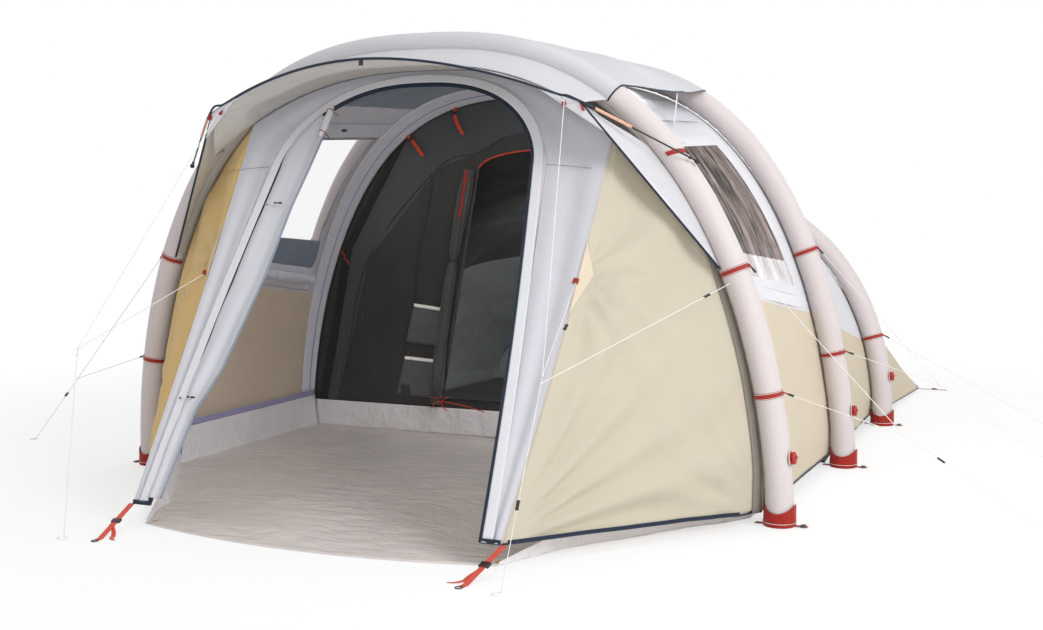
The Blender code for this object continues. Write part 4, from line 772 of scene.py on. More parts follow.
def set_stage():
    """The camera, a plain pale floor, and soft studio light.

    The floor is matt, and the world plain. Both are white to camera, glossy and transmission
    rays, the floor the more so the farther it is from the tent's middle.
    """
    scene = bpy.context.scene
    data = bpy.data.cameras.new("camera")
    data.lens, data.sensor_width, data.clip_end = CAMERA_LENS, 36, 200
    data.shift_x, data.shift_y = CAMERA_SHIFT
    scene.camera = bpy.data.objects.new("camera", data)
    scene.camera.location, scene.camera.rotation_euler = CAMERA_PLACE, CAMERA_TURN
    scene.collection.objects.link(scene.camera)
    scene.view_settings.view_transform = "Standard"
    rays = {"path": ("LightPath", {}), "seen": ("Math", dict(operation="MAXIMUM")),
            "either": ("Math", dict(operation="MAXIMUM"))}
    ray_wires = ("path.Is Camera Ray > seen.0, path.Is Glossy Ray > seen.1, seen.0 > either.0,"
                 "path.Is Transmission Ray > either.1,")
    nodes = {
        **rays, "away": ("VectorMath", dict(operation="LENGTH")),
        "fade": ("MapRange", dict(From_Min=2.0, From_Max=4.6, To_Min=0.62)), "share": TIMES,
        "white": ("Emission", dict(Strength=1.0)), "mix": ("MixShader", {}),
    }
    backdrop = finish("studio_floor", nodes, ray_wires + "place.Object > away.0,"
                      "away.Value > fade.Value, fade.Result > share.0, either.0 > share.1,"
                      "share.0 > mix.Fac, shader.BSDF > mix.1, white.Emission > mix.2,"
                      "mix.Shader > out.Surface", Base_Color=(0.88, 0.88, 0.88, 1), Roughness=0.9)
    mesh = bpy.data.meshes.new("studio_floor")
    half = 40.0
    mesh.from_pydata([(x * half, y * half, 0) for x, y in ((-1, -1), (1, -1), (1, 1), (-1, 1))], [],
                     [(0, 1, 2, 3)])
    mesh.materials.append(backdrop)
    floor = bpy.data.objects.new("studio_floor", mesh)
    floor.location.z = -0.0008
    scene.collection.objects.link(floor)
    world = bpy.data.worlds.new("studio")
    world.use_nodes = True
    scene.world = world
    world.node_tree.nodes.clear()
    plain = ("Background", dict(Color=(1, 1, 1, 1), Strength=0.64))
    white = ("Background", dict(Color=(1, 1, 1, 1), Strength=1.0))
    wire(world.node_tree, {}, {**rays, "plain": plain, "white": white, "mix": ("MixShader", {}),
                               "out": ("OutputWorld", {})},
         ray_wires + "either.0 > mix.0, plain.0 > mix.1, white.0 > mix.2, mix.0 > out.0")
    for name, place, aim, size, power in (
        ("key_light", (7.0, -4.0, 5.2), (0.3, 0.0, 0.8), 4.0, 400),
        ("top_light", (0.8, 0.3, 7.5), (0.0, 0.0, 0.8), 5.0, 120),
        ("front_light", (3.4, -8.5, 1.1), (-0.3, -0.4, 0.8), 4.0, 140),
        ("room_light", (0.30, -0.80, 1.70), (0.25, -0.45, 0.0), 0.9, 9),
        ("bedroom_light", (0.0, 0.62, 1.20), (0.2, 1.3, 0.2), 0.6, 8),
    ):
        lamp = bpy.data.lights.new(name, "AREA")
        lamp.shape, lamp.size, lamp.energy = "DISK", size, power
        holder = bpy.data.objects.new(name, lamp)
        holder.location = place
        holder.visible_camera = size > 1
        holder.rotation_euler = (Vector(place) - Vector(aim)).to_track_quat("Z", "Y").to_euler()
        scene.collection.objects.link(holder)


# Beams, bands, boots and valves


def build_beam(arch):
    """An air beam: a tube of slightly varying radius, its inside creased where it bends hard.

    The radius is the beam's, less soft creases: a share of the bend times a wave along the beam,
    on the inner side only, and plus two small waves for the sleeve's slack.
    """
    angles = np.linspace(angle_at(arch, 0.006), math.pi - angle_at(arch, 0.006), 3000)
    run = running(beam_point(arch, angles))
    line = beam_point(arch, np.interp(np.linspace(0, run[-1], 430), run, angles))
    run = running(line)
    bend = np.linalg.norm(np.gradient(unit(np.gradient(line, axis=0)), run, axis=0), axis=1)
    bend = np.clip(bend / 1.6, 0, 1)[:, None]
    turn = round_angles(40)[None, :]
    inner = np.clip(np.cos(turn), 0, 1) ** 1.5
    crease = np.clip(np.sin(2 * math.pi * run / 0.062 + 0.8 * np.sin(9 * run)), 0, 1)[:, None] ** 4
    slack = 0.0008 * np.sin(2 * math.pi * run / 0.31)[:, None] * np.cos(2 * turn)
    radius = BEAM_RADIUS - bend * inner * (0.0030 + 0.0058 * crease) + slack
    tube(f"beam_sleeve_{arch}", line, radius, "beam", sides=40, stands_for=["beam_" + arch],
         girth=BEAM_RADIUS)
    for k, share in enumerate(BAND_SHARES[arch]):
        angle = angle_at(arch, share * ARCHES[arch][1])
        build_band(f"band_{arch}_{k}_right", arch, angle)
        build_band(f"band_{arch}_{k}_left", arch, math.pi - angle)


def build_band(name, arch, angle):
    """A red webbing band round a beam, with a row of pale stitches along both its edges.

    The band is a flat hoop: a rounded rectangle carried round the beam.
    """
    centre = beam_point(arch, angle)
    along = unit(beam_point(arch, angle + 0.01) - beam_point(arch, angle - 0.01))
    out = unit(outwards(arch, angle))
    side = np.cross(along, out)
    turn, bend = round_angles(64)[:, None], round_angles(14)[None, :]
    high = BEAM_RADIUS + 0.0011 + 0.0011 * np.sign(np.sin(bend)) * np.abs(np.sin(bend)) ** 0.5
    wide = BAND_WIDTH / 2 * np.sign(np.cos(bend)) * np.abs(np.cos(bend)) ** 0.3
    ring = np.cos(turn)[..., None] * out + np.sin(turn)[..., None] * side
    grid = centre + ring * high[..., None] + along * (wide + 0 * turn)[..., None]
    solid(name, grid, "red", ring=True)
    for number, way in enumerate((-1, 1)):
        middle = centre + along * way * (BAND_WIDTH / 2 - 0.003)
        hoop(f"{name}_stitch_{number}", middle, out, side, BEAM_RADIUS + 0.0024, 0.0008, along,
             "thread", count=96, sides=6)


def build_boot(arch, side):
    """A red cloth cup round the beam's foot: a turned profile, gathered, lower at its two sides."""
    half_width, height, foot_y, lean = ARCHES[arch]
    sign = SIDES[side]
    place = np.array([sign * half_width, foot_y + lean * 0.041 / height, 0])
    turn = round_angles(72)[:, None]
    rise = np.array([0, 0, 0, 0.02, 0.12, 0.3, 0.5, 0.7, 0.88, 0.97, 1, 0.97, 0.9, 0.6, 0.2, 0.04])
    reach = np.array([0.0, 0.5, 0.97, 1, 1.01, 1.01, 1, 1, 1, 1, 0.985, 0.96, 0.95, 0.95, 0.95, 0.90])
    top = 0.078 + 0.012 * np.cos(2 * turn) - 0.010 * np.abs(np.sin(turn))
    gather = 1 + 0.012 * np.sin(11 * turn + 1.3 * np.sin(3 * turn)) * rise * (1 - rise) * 4
    radius = 0.0630 * reach * np.where(reach > 0.9, gather, 1)
    grid = np.stack([place[0] + radius * np.cos(turn), place[1] + radius * np.sin(turn),
                     np.maximum(top * rise, 0.0004)], -1)
    surface(f"boot_cloth_{arch}_{side}", grid, "boot", [f"boot_{arch}_{side}"], thickness=0,
            closed=(True, False))
    for way, name, end in ((1, "outer", 0.110), (-1, "inner", 0.095)):
        x = place[0] + sign * way * np.linspace(0.052, end, 12)
        line = np.stack([x, place[1] + 0 * x, 0.0030 + 0 * x], -1)
        strap(f"boot_strap_{arch}_{side}_{name}", line, FORE, 0.028, 0.0022)
    lump(f"boot_buckle_{arch}_{side}", place + [sign * 0.092, 0, 0.0052], (0.020, 0.036, 0.0078))
    hoop(f"boot_stitch_{arch}_{side}", place + [0, 0, 0.016], (1, 0, 0), FORE, 0.0646, 0.0008, UP,
         "thread", count=60, sides=6)


def build_valve(arch):
    """A valve: a turned boss on the beam, and its screw cap with a grip and a ribbed rim."""
    angle = angle_at(arch, VALVE_HEIGHT)
    out = unit(outwards(arch, angle))
    base = beam_point(arch, angle, BEAM_RADIUS)
    side = np.cross(out, FORE)
    turn = round_angles(60)[:, None]
    ring = np.cos(turn)[..., None] * np.array(FORE) + np.sin(turn)[..., None] * side

    def turned(name, profile, paint="red_plastic", body=ROOT, stands_for=(), ribs=0):
        reach, rise = np.array(profile).T[:, None, :]
        reach = reach * (1 + ribs * np.cos(30 * turn) * (reach > 0.020))
        grid = base + ring * reach[..., None] + out * (rise + 0 * turn)[..., None]
        surface(name + arch, grid, paint, stands_for, thickness=0, closed=(True, False),
                body=body)

    turned("valve_boss_", [(0, -0.004), (0.026, -0.004), (0.027, 0.0015), (0.0235, 0.003),
                           (0.0205, 0.0035), (0.0205, 0.0058), (0, 0.0058)])
    cap_body = f"valve_cap_{arch}_body"
    turned("valve_lid_", [(0, 0.0068), (0.0225, 0.0068), (0.0238, 0.0080), (0.0240, 0.0155),
                          (0.0228, 0.0180), (0.0180, 0.0186), (0.0170, 0.0172), (0, 0.0170)],
           body=cap_body, stands_for=["valve_cap_" + arch], ribs=0.02)
    lump("valve_grip_" + arch, base + out * 0.0205, (0.0080, 0.0384, 0.0085), [side, FORE, out],
         "red_plastic", powers=(0.4, 0.3), body=cap_body)
    turned("valve_patch_", [(0.034, -0.0012), (0.034, 0.0004), (0.027, 0.0010), (0.026, -0.003)],
           "beam")


# Fly, windows, vents and roof


def window_columns(row, left):
    """The window's front and rear edges at a row of its side, as shares of the way back."""
    way = np.clip((row - WINDOW_LOW) / (WINDOW_TOP - WINDOW_LOW), -0.2, 1.1)
    front = WINDOW_FRONT[0] + (WINDOW_FRONT[1] - WINDOW_FRONT[0]) * way
    foot, head = (np.where(left, *ends) for ends in zip(WINDOW_REARS["left"], WINDOW_REARS["right"]))
    return front, foot + (head - foot) * way


def window_grid(side, rows, shares, inset, count=(40, 200)):
    """A piece of the fly's right side, between two rows and two shares of a window's width."""
    row = np.linspace(*rows, count[0])[:, None]
    front, rear = window_columns(row, side == "left")
    return living_skin(row, front + (rear - front) * np.linspace(*shares, count[1]), SEAT + inset)


def build_living_fly():
    """The living room's fly: straight lines from beam to beam at each station, softly rippled.

    Its rows step in sixths of a station from hem to hem, its columns from edge to vent, window,
    vent and edge; the window and vent cells stay open. The lower rows are beige and the upper
    ones white outside, and taupe, grey and slate inside; the taupe and grey are the beige and
    grey cloths painted darker, as shade on the inside faces.
    ones white outside, and taupe, grey and slate inside.
    """
    rows = ALL_ROWS[:, None]
    front, rear = window_columns(np.minimum(rows, LAST_ROW - rows), rows > CROWN)
    edge = EDGE_GAP / abs(ARCHES["front"][2]) + 0 * front
    keys = [edge, front / 2, front, rear, (1 + rear) / 2, 1 - edge]
    columns = np.hstack([low + (high - low) * np.arange(steps) / steps
                         for low, high, steps in zip(keys, keys[1:], COLUMN_STEPS)] + [keys[-1]])
    grid = living_skin(rows, columns)
    moved = relief(grid, 0.55, 3, 0.0042, 0.0012)
    for row, share in ((6.0, 0.28), (6.0, 0.85), (11.0, 0.35), (11.0, 0.81)):
        for mirror in (1, MIRROR):
            moved = pucker(moved, living_skin(row, share) * mirror, 0.16, 9, 0.0016, phase=row)
    grid = grid + (moved - grid) * inside(columns, 0.06)[..., None]
    middle = (ALL_ROWS[:-1] + ALL_ROWS[1:]) / 2
    low = np.minimum(middle, LAST_ROW - middle)
    zone = np.where(low < LINE_ROW, 0, np.where(low < SLEEVE_END, 1, 2))[:, None]
    zone = zone + np.zeros((1, columns.shape[1] - 1), int)
    steps = np.cumsum(COLUMN_STEPS)
    top = np.where(middle > CROWN, WINDOW_TOPS["left"], WINDOW_TOPS["right"])
    zone[(low > WINDOW_LOW) & (low < top), steps[1]:steps[2]] = -1
    zone[(low > WALL_TOP) & (low < SLEEVE_END + 1), steps[0]:steps[3]] = -1
    surface("fly_living_room", grid, ["beige", "white", "grey", "beige_in", "grey_in", "liner"],
            ["living_fly"], zone, FLY, flip=True, wall=3)
    strip = living_skin(np.linspace(0.1, SLEEVE_END, 90)[:, None], np.linspace(0.012, 0.050, 4),
                        SEAT - 0.0042)
    hem = living_skin(0.06, np.linspace(0.01, 0.99, 60), SEAT - 0.002)
    for side in SIDES:
        surface("fly_keder_" + side, on_side(side, strip), "keder")
        tube("living_hem_" + side, on_side(side, hem), 0.0042, "navy", UP)


def build_window(side):
    """A side window: its film in upright crumples, and a flat hem of cloth all round."""
    low, high = WINDOW_LOW, WINDOW_TOPS[side]
    across, up = np.linspace(0, 1, 81)[None, :], np.linspace(0, 1, 61)[:, None]
    grid = window_grid(side, (low, high), (0, 1), 0.0004, (61, 81))
    upright = np.sin(2 * math.pi * (across * 9 + 0.5 * np.sin(5 * up + 3 * across)))
    push = inside(across, 0.08) * inside(up, 0.06)
    push = push * (0.0022 * upright + 0.0014 * waves(grid, 0.16, 21))
    grid = grid + normals_of(grid) * push[..., None]
    zone = np.zeros((60, 80), int)
    zone[:10] = 1
    surface("window_film_" + side, on_side(side, grid), ["film", "pale_film", "clear", "clear"],
            ["window_" + side], zone, 0.0008, flip=side == "right", wall=2)
    for name, rows, shares in (
        ("foot", (low - 0.30, low + 0.10), (-0.02, 1.02)),
        ("head", (high - 0.10, high + 0.30), (-0.02, 1.02)),
        ("front", (low - 0.30, high + 0.30), (-0.03, 0.014)),
        ("rear", (low - 0.30, high + 0.30), (0.986, 1.03)),
    ):
        strip = window_grid(side, rows, shares, -0.0022)
        surface(f"window_hem_{side}_{name}", on_side(side, strip), "white",
                flip=side == "right")
    across, up = np.linspace(0, 1, 200)[None, :], np.linspace(0, 1, 40)[:, None]
    gather = np.sin(2 * math.pi * (across * 34 + 0.6 * np.sin(11 * across) + 0.8 * up))[..., None]
    for name, rows, inset, depth, paint in (
        ("ruffle", (LINE_ROW + 0.12, low - 0.32), -0.0032, 0.0010, "white"),
        ("gather", (LINE_ROW + 0.25, low + 0.35), 0.0060, 0.0024, "lining"),
        ("header", (high + 0.05, high + 0.95), 0.0050, 0.0010, "lining"),
    ):
        strip = window_grid(side, rows, (-0.03, 1.03), inset)
        strip = strip + normals_of(strip) * depth * gather
        surface(f"window_{name}_{side}", on_side(side, strip), paint, thickness=0.0010,
                flip=side == "right")
    at = window_grid(side, (high + 0.45, high + 0.55), (0.42, 0.46), 0.012)[0, 0]
    lump("window_loop_" + side, on_side(side, at), (0.024, 0.020, 0.010))


def build_curtain(side):
    """The curtain below its window, inside: a slack flap, and its roll held by three ties."""
    flap = window_grid(side, (WINDOW_LOW + 0.30, WINDOW_LOW + 1.25), (0.01, 0.99), 0.012)
    down = np.linspace(0, 1, 40)[:, None]
    slack = 0.009 * np.sin(math.pi * down) ** 0.7 + 0.004 * waves(flap * [1, 1, 3], 0.22, 25)
    flap = flap - outwards("middle", at_row("middle", 6.5)) * slack[..., None]
    surface("curtain_flap_" + side, on_side(side, flap), "liner")
    shares = np.linspace(*window_columns(WINDOW_LOW, side == "left"), 120)
    line = on_side(side, living_skin(WINDOW_LOW - 0.1, shares, SEAT + 0.0295))
    t, turn = np.linspace(0, 1, 120)[:, None], round_angles(48)[None, :]
    radius = 0.0245 - sum(0.0042 * np.exp(-((t - tie) / 0.018) ** 2) for tie in CURTAIN_TIES)
    spread = 1 + 0.05 * np.sin(turn * 3 + 9 * t) + 0.03 * np.sin(22 * t + turn * 2)
    lip = 0.10 * np.exp(-((turn - 2.2) / 0.25) ** 2)
    tube("curtain_cloth_" + side, line, radius * (spread + lip), "lining", UP, 48,
         ["curtain_roll_" + side], girth=0.024)
    for number, tie in enumerate(CURTAIN_TIES):
        k = int(tie * 119)
        ahead = unit(line[k + 1] - line[k - 1])
        first = unit(np.cross(ahead, UP))
        hoop(f"curtain_tie_{side}_{number}", line[k], first, np.cross(ahead, first), 0.0225, 0.0022,
             ahead, "grey")


def build_vent(side):
    """A roof vent's mesh, and the webbing prop that holds its hood open, on its own hinge."""
    rows = np.linspace(WALL_TOP, SLEEVE_END + 1, 25)[:, None]
    front, rear = window_columns(rows, side == "left")
    start, end = front / 2, (1 + rear) / 2
    across = np.linspace(0, 1, 61)[None, :]
    grid = living_skin(rows, start + (end - start) * across)
    sag = np.sin(math.pi * across) * np.sin(math.pi * np.linspace(0, 1, 25))[:, None]
    grid = grid - normals_of(grid) * (0.002 * sag)[..., None]
    surface("vent_net_" + side, on_side(side, grid), ["mesh", "lining"], ["vent_mesh_" + side],
            thickness=0.0009)
    points = node_points("vent_prop_right")
    z = points[:, 2]
    foot, head = points[z < z.min() + 0.004].mean(0), points[z > z.max() - 0.004].mean(0)
    line = on_side(side, np.linspace(foot, head, 16))
    strap("vent_stay_" + side, line, FORE, 0.0145, 0.0030, "white",
          ["vent_prop_" + side], f"vent_prop_{side}_body")


def roof_point(row, share):
    """The roof between the beams, its hoods let down at mid-span over the vents."""
    point = between(beam_point("front", at_row("front", row), ROOF_LIFT),
                    beam_point("middle", at_row("middle", row), ROOF_LIFT), share)
    from_edge = min(row - SLEEVE_END, LAST_ROW - SLEEVE_END - row)
    hood = np.sin(math.pi * share) * np.clip(1 - from_edge / 2, 0, 1) ** 2
    down = unit(living_skin(row - 0.5, 0.5) - living_skin(row + 0.5, 0.5))
    down = down if row < CROWN else -down
    normal = outwards("front", at_row("front", row))
    return point + np.multiply.outer(hood, down * HOOD_DROP + normal * HOOD_PUSH)


def roof_row(row):
    """One line across the roof: round the front beam, over to the middle one and round it."""
    up, ahead = ROOF_LIFT * np.sin(SLEEVE_TURNS), ROOF_LIFT * np.cos(SLEEVE_TURNS)
    front = beam_point("front", at_row("front", row), up, ahead)
    middle = beam_point("middle", at_row("middle", row), up[::-1], -ahead[::-1])
    return np.vstack([front, roof_point(row, np.linspace(0, 1, 26)[1:-1]), middle])


def build_roof():
    """The outer roof: a sleeve over both tall beams and the sheet between, with navy piping.

    The sheet between the beams is pushed out and in by waves of about 0.4 m, and puckered at the
    vents' stays.
    """
    rows = np.linspace(SLEEVE_END, LAST_ROW - SLEEVE_END, 121)
    grid = np.array([roof_row(row) for row in rows])
    count, columns = len(SLEEVE_TURNS), grid.shape[1]
    middle = np.zeros(columns)
    middle[count:-count] = np.sin(np.linspace(0, math.pi, columns - 2 * count)) ** 0.6
    moved = relief(grid, 0.42, 11, 0.0050, 0.0012)
    for row in (0, -1):
        moved = pucker(moved, grid[row, columns // 2], 0.30, 8, 0.0055)
    grid = grid + (moved - grid) * middle[None, :, None]
    surface("roof_cloth", grid, ["roof_in", "roof"], ["roof"], thickness=SHEET)
    for side, row in (("right", 0), ("left", -1)):
        tube("roof_piping_" + side, grid[row], 0.0034, "navy", UP)
    for name, column in (("front", 0), ("middle", -1)):
        tube("sleeve_hem_" + name, grid[:, column], 0.0016, "keder", sides=6)


def build_bedroom_fly():
    """The fly over the bedroom: beige below its line and white above, sagging a little."""
    edge = EDGE_GAP / ARCHES["rear"][2]
    shares = np.linspace(edge, 1 - edge, 41)
    grid = bedroom_skin(ALL_ROWS[:, None], shares)
    moved = relief(grid, 0.6, 31, 0.0048, 0.0012)
    grid = grid + (moved - grid) * inside(shares, 0.08)[None, :, None]
    middle = (ALL_ROWS[:-1] + ALL_ROWS[1:]) / 2
    low = np.minimum(middle, LAST_ROW - middle)
    zone = np.where(low < LINE_ROW, 0, 1)[:, None] + np.zeros((1, 40), int)
    surface("fly_bedroom", grid, ["beige", "white", "beige_in", "grey_in"], ["bedroom_fly"],
            zone, FLY, flip=True, wall=2)
    for side in SIDES:
        for name, row, radius, paint in (("seam", LINE_ROW, 0.0011, "thread"),
                                         ("hem", 0.06, 0.0042, "navy")):
            line = bedroom_skin(row, np.linspace(0.01, 0.99, 50), SEAT - 0.0016)
            tube(f"bedroom_fly_{name}_{side}", on_side(side, line), radius, paint, UP)


def rear_hem(rows):
    """The end wall's lower edge: back along the side to the corner, then across the rear."""
    low = np.minimum(rows, LAST_ROW - rows)[:, None]
    foot = bedroom_skin(0.0, 1.0)
    foot = np.array([foot[0], foot[1] + HEM_HEIGHT, (HEM_HEIGHT + REAR_CORNER[2]) / 2])
    centre = np.array([0, REAR_CENTRE_Y, REAR_CORNER[2]])
    first = foot + (REAR_CORNER - foot) * np.clip(low / CORNER_ROW, 0, 1)
    second = (centre - REAR_CORNER) * np.clip((low - CORNER_ROW) / (CROWN - CORNER_ROW), 0, 1)
    return (first + second) * np.where(rows[:, None] > CROWN, MIRROR, 1)


def build_end_wall():
    """The sloping end wall: straight lines from the rear beam to the hem, pulled at its corners."""
    rows = np.linspace(0, LAST_ROW, 5 * LAST_ROW + 1)
    top = bedroom_skin(rows, 1.0, SEAT - 0.001) + [0, EDGE_GAP, 0]
    hem = rear_hem(rows)
    shares = np.linspace(0, 1, 36)
    grid = ruled(top, hem, shares)
    moved = relief(grid, 0.5, 41, 0.0060, 0.0012)
    for mirror in (1, MIRROR):
        moved = pucker(moved, REAR_CORNER * mirror, 0.70, 10, 0.0085)
    grid = grid + (moved - grid) * inside(shares, 0.08)[None, :, None]
    surface("end_wall_cloth", grid, ["beige", "beige_in"], ["end_wall"], thickness=FLY,
            flip=True)
    tube("end_hem", hem + [0, 0, 0.002], 0.003, "navy", UP)
    start = between(REAR_CORNER, top[5 * CORNER_ROW], 0.03)
    for side in SIDES:
        first, corner, end = on_side(side, np.array([start, REAR_CORNER, REAR_PEG_END]))
        line = smooth([first, corner, between(corner, end, 0.4), end], 24)
        strap("rear_strap_" + side, line, np.cross(end - corner, UP), 0.024, 0.0022)
        lump("rear_buckle_" + side, between(corner, end, 0.55) + [0, 0, 0.004], (0.034, 0.026, 0.007),
             frame_axes(end - corner))


# Front panel, doorway, canopy and their fittings


def panel_point(x, z, ahead=0.0):
    """A point of the leaning plane of the front panel, or of one that lies ahead of it."""
    x, z = np.broadcast_arrays(x, z)
    y = PANEL_HEM[1] + PANEL_LEAN * (z - PANEL_HEM[2])
    return np.stack([x, y, z], -1) + np.asarray(ahead)[..., None] * TILT


def crease(row, lift=0.0):
    """Where the front panel ends under the canopy, inside the front beam."""
    inner = beam_point("front", at_row("front", row), -(BEAM_RADIUS + 0.040) + lift)
    return panel_point(inner[..., 0], inner[..., 2])


def seam_point(share, side="right"):
    """The seam between the front panel and its side wing, bowed a little by the cloth's pull."""
    share = np.asarray(share, float)
    top = crease(SEAM_HEADS[side])
    x = PANEL_HEM[0] + (top[0] - PANEL_HEM[0]) * share + SEAM_BELLIES[side] * np.sin(math.pi * share)
    return panel_point(x, PANEL_HEM[2] + (top[2] - PANEL_HEM[2]) * share)


def door_point(share):
    """The doorway's right edge, from the hem (0) to the middle of its round head (1)."""
    share = np.asarray(share, float)
    way = np.clip(share / DOOR_LEG, 0, 1)
    half, shoulder_z = DOOR_SHOULDER
    leg_z = PANEL_HEM[2] + (shoulder_z - PANEL_HEM[2]) * way
    leg_x = DOOR_HALF_WIDTH + (half - DOOR_HALF_WIDTH) * way + DOOR_BULGE * np.sin(math.pi * way)
    turn = np.clip((share - DOOR_LEG) / (1 - DOOR_LEG), 0, 1) * math.pi / 2
    p, q = DOOR_POWERS
    arch_x = half * np.abs(np.cos(turn)) ** (2 / p)
    arch_z = shoulder_z + (DOOR_TOP_Z - shoulder_z) * np.abs(np.sin(turn)) ** (2 / q)
    on_leg = share < DOOR_LEG
    return panel_point(np.where(on_leg, leg_x, arch_x), np.where(on_leg, leg_z, arch_z))


def outer_line(shares, side="right"):
    """The panel's outer edge, seam then crease, at the same shares as the doorway's edge."""
    seam = seam_point(np.clip(shares / DOOR_LEG, 0, 1), side)
    over = np.clip((shares - DOOR_LEG) / (1 - DOOR_LEG), 0, 1)
    head = SEAM_HEADS[side]
    return np.where((shares < DOOR_LEG)[:, None], seam, crease(head + over * (CROWN - head)))


def build_front_panel():
    """The grey panel round the doorway, in radial lines from its outer edge to the door's edge.

    Long soft folds run down beside the doorway, and the band next to the door stands a little
    proud, as a sewn channel does.
    """
    across = np.linspace(0, 1, 34)
    shares = np.concatenate([np.linspace(0, DOOR_LEG, 90, endpoint=False),
                             np.linspace(DOOR_LEG, 1, 60)])
    right, left = (on_side(side, ruled(outer_line(shares, side), door_point(shares), across))
                   for side in SIDES)
    grid = np.concatenate([right, left[-2::-1]])
    up = np.linspace(0, 1, len(grid))[:, None]
    folds = 0.0060 * np.sin(2 * math.pi * (1.6 * across + 0.25 * np.sin(9 * up)))
    folds = folds + 0.0050 * waves(grid * [1, 0.4, 0.4], 0.20, 51) + 0.0012 * waves(grid, 0.09, 53)
    channel = np.clip((across - 0.80) / 0.03, 0, 1) - np.clip((across - 0.955) / 0.03, 0, 1)
    head = np.clip((grid[..., 2] - 1.45) / 0.25, 0, 1)
    push = np.sin(math.pi * across) * folds * (1 - 0.6 * head) + 0.0030 * channel
    surface("front_panel_cloth", grid + TILT * push[..., None], ["grey", "grey_in"],
            ["front_surround"], thickness=SHEET)
    share = np.linspace(0, 1, 30)
    line = panel_point(0.600 + 0.250 * share, 1.389 - 0.020 * share, 0.0075 * np.sin(math.pi * share))
    for side in SIDES:
        tube("cross_seam_" + side, on_side(side, line), 0.0010, "keder", sides=6)
    edge = mirrored(door_point(np.linspace(0, 1, 170)))
    tube("door_piping", edge + TILT * 0.0010, 0.0048, "navy", sides=10)
    shares = np.linspace(0.004, 1, 170)
    start, outer = mirrored(door_point(shares)), mirrored(outer_line(shares))
    reach = unit(outer - start)[:, None]
    tape = start[:, None] + reach * np.linspace(0.001, 0.011, 5)[:, None]
    surface("door_navy_tape", tape + TILT * 0.0082, "navy")
    strip = start[:, None] + reach * np.linspace(0.011, 0.052, 9)[:, None]
    pleat = 0.0012 * np.sin(np.arange(len(strip)) * 1.9)[:, None] * np.linspace(0, 1, 9)
    surface("door_edge_tape", strip + TILT * (0.0080 + pleat)[..., None], "white", thickness=0.0010)
    for number, share in enumerate((0.202, 0.062)):
        line = between(start, outer, share) + TILT * 0.0032
        tube(f"door_stitch_{number}", line, 0.0009, "keder", sides=6)


def build_wedge(side):
    """The beige side wing: straight lines from the panel's seam back to the front beam."""
    share = np.linspace(0, 1, 90)
    row = share * SEAM_HEADS[side]
    back = beam_point("front", at_row("front", row), -SEAT - tuck(row), -EDGE_GAP)
    seam = seam_point(share, side)
    front = seam + unit(back - seam) * 0.0022
    across = np.linspace(0, 1, 48)
    grid = ruled(front, back, across)
    moved = relief(grid, 0.50, 61, 0.0130, 0.0026)
    moved = pucker(moved, front[56], 0.40, 13, 0.0130)
    moved = pucker(moved, back[0], 0.55, 17, 0.0150, 1.0)
    moved = pucker(moved, front[0], 1.10, 27, 0.0210, 2.0)
    grid = on_side(side, grid + (moved - grid) * inside(across, 0.09, 0.04)[None, :, None])
    # The left wing's outer face takes the ochre painted backlight, so it looks warmer than the right;
    # the right wing has it on its other face.
    paints = ["wing_in", "wing"] if side == "right" else ["wing", "wing_in"]
    surface("wing_cloth_" + side, grid, paints, ["front_wedge_" + side], thickness=FLY,
            flip=side == "left")
    tube("wing_hem_" + side, grid[0], 0.0040, "navy", UP)
    band = on_side(side, ruled(back, front, np.linspace(0.012, 0.046, 5)))
    out = normals_of(band)
    out = out * np.sign(np.sum(out * (band - [0, -0.6, 0.5]), -1, keepdims=True))
    surface("wing_keder_" + side, band + out * 0.0075, "keder", thickness=SHEET)
    tube("panel_seam_" + side, on_side(side, seam) + TILT * 0.0006, 0.0021, "grey")
    hem = on_side(side, between(seam_point(0.0), door_point(0.0), np.linspace(0, 1, 20)))
    strap("panel_hem_" + side, hem + TILT * 0.0018 + [0, 0, 0.006], UP, 0.018, 0.0022, "navy")
    strap("wing_band_" + side, grid[0, 1:] + [0, 0, 0.006], UP, 0.012, 0.0024, "navy")
    at, low, high = (seam_point(share, side) for share in (0.62, 0.53, 0.72))
    u = np.linspace(0, 1, 14)
    patch = ruled(between(at, low, u), between(high, between(at, back[56], 0.13), u), u)
    patch = on_side(side, patch)
    out = normals_of(patch)
    away = np.sign(np.sum(out[7, 7] * (patch[7, 7] - [0, -1.0, 0.7])))
    # The left patch is painted darker (khaki) as shade; the right one is plain beige.
    surface("seam_patch_" + side, patch + out * away * 0.0060, "khaki" if side == "left" else "beige")


def canopy_edge(share):
    """The canopy's front edge, bowed by its rod, from one tip (-1) to the other (1)."""
    forward, up = CANOPY_POWERS
    size = np.abs(share)
    return np.stack([
        TIP[0] * share,
        TIP[1] + (CANOPY_PEAK[0] - TIP[1]) * (1 - size**forward),
        TIP[2] + (CANOPY_PEAK[1] - TIP[2]) * (1 - size**up),
    ], -1)


def wing_line(row):
    """The canopy's seam beside the front beam, on its inner front quarter."""
    seat = (BEAM_RADIUS + 0.0030) / math.sqrt(2)
    return beam_point("front", at_row("front", row), -seat, -seat)


def over_crease(rows):
    """The canopy's lines over the crease: along the panel's top, and along the front edge."""
    inner = crease(rows, CREASE_LIFT)
    return inner, canopy_edge(inner[:, 0] / crease(CREASE_ROW, CREASE_LIFT)[0])


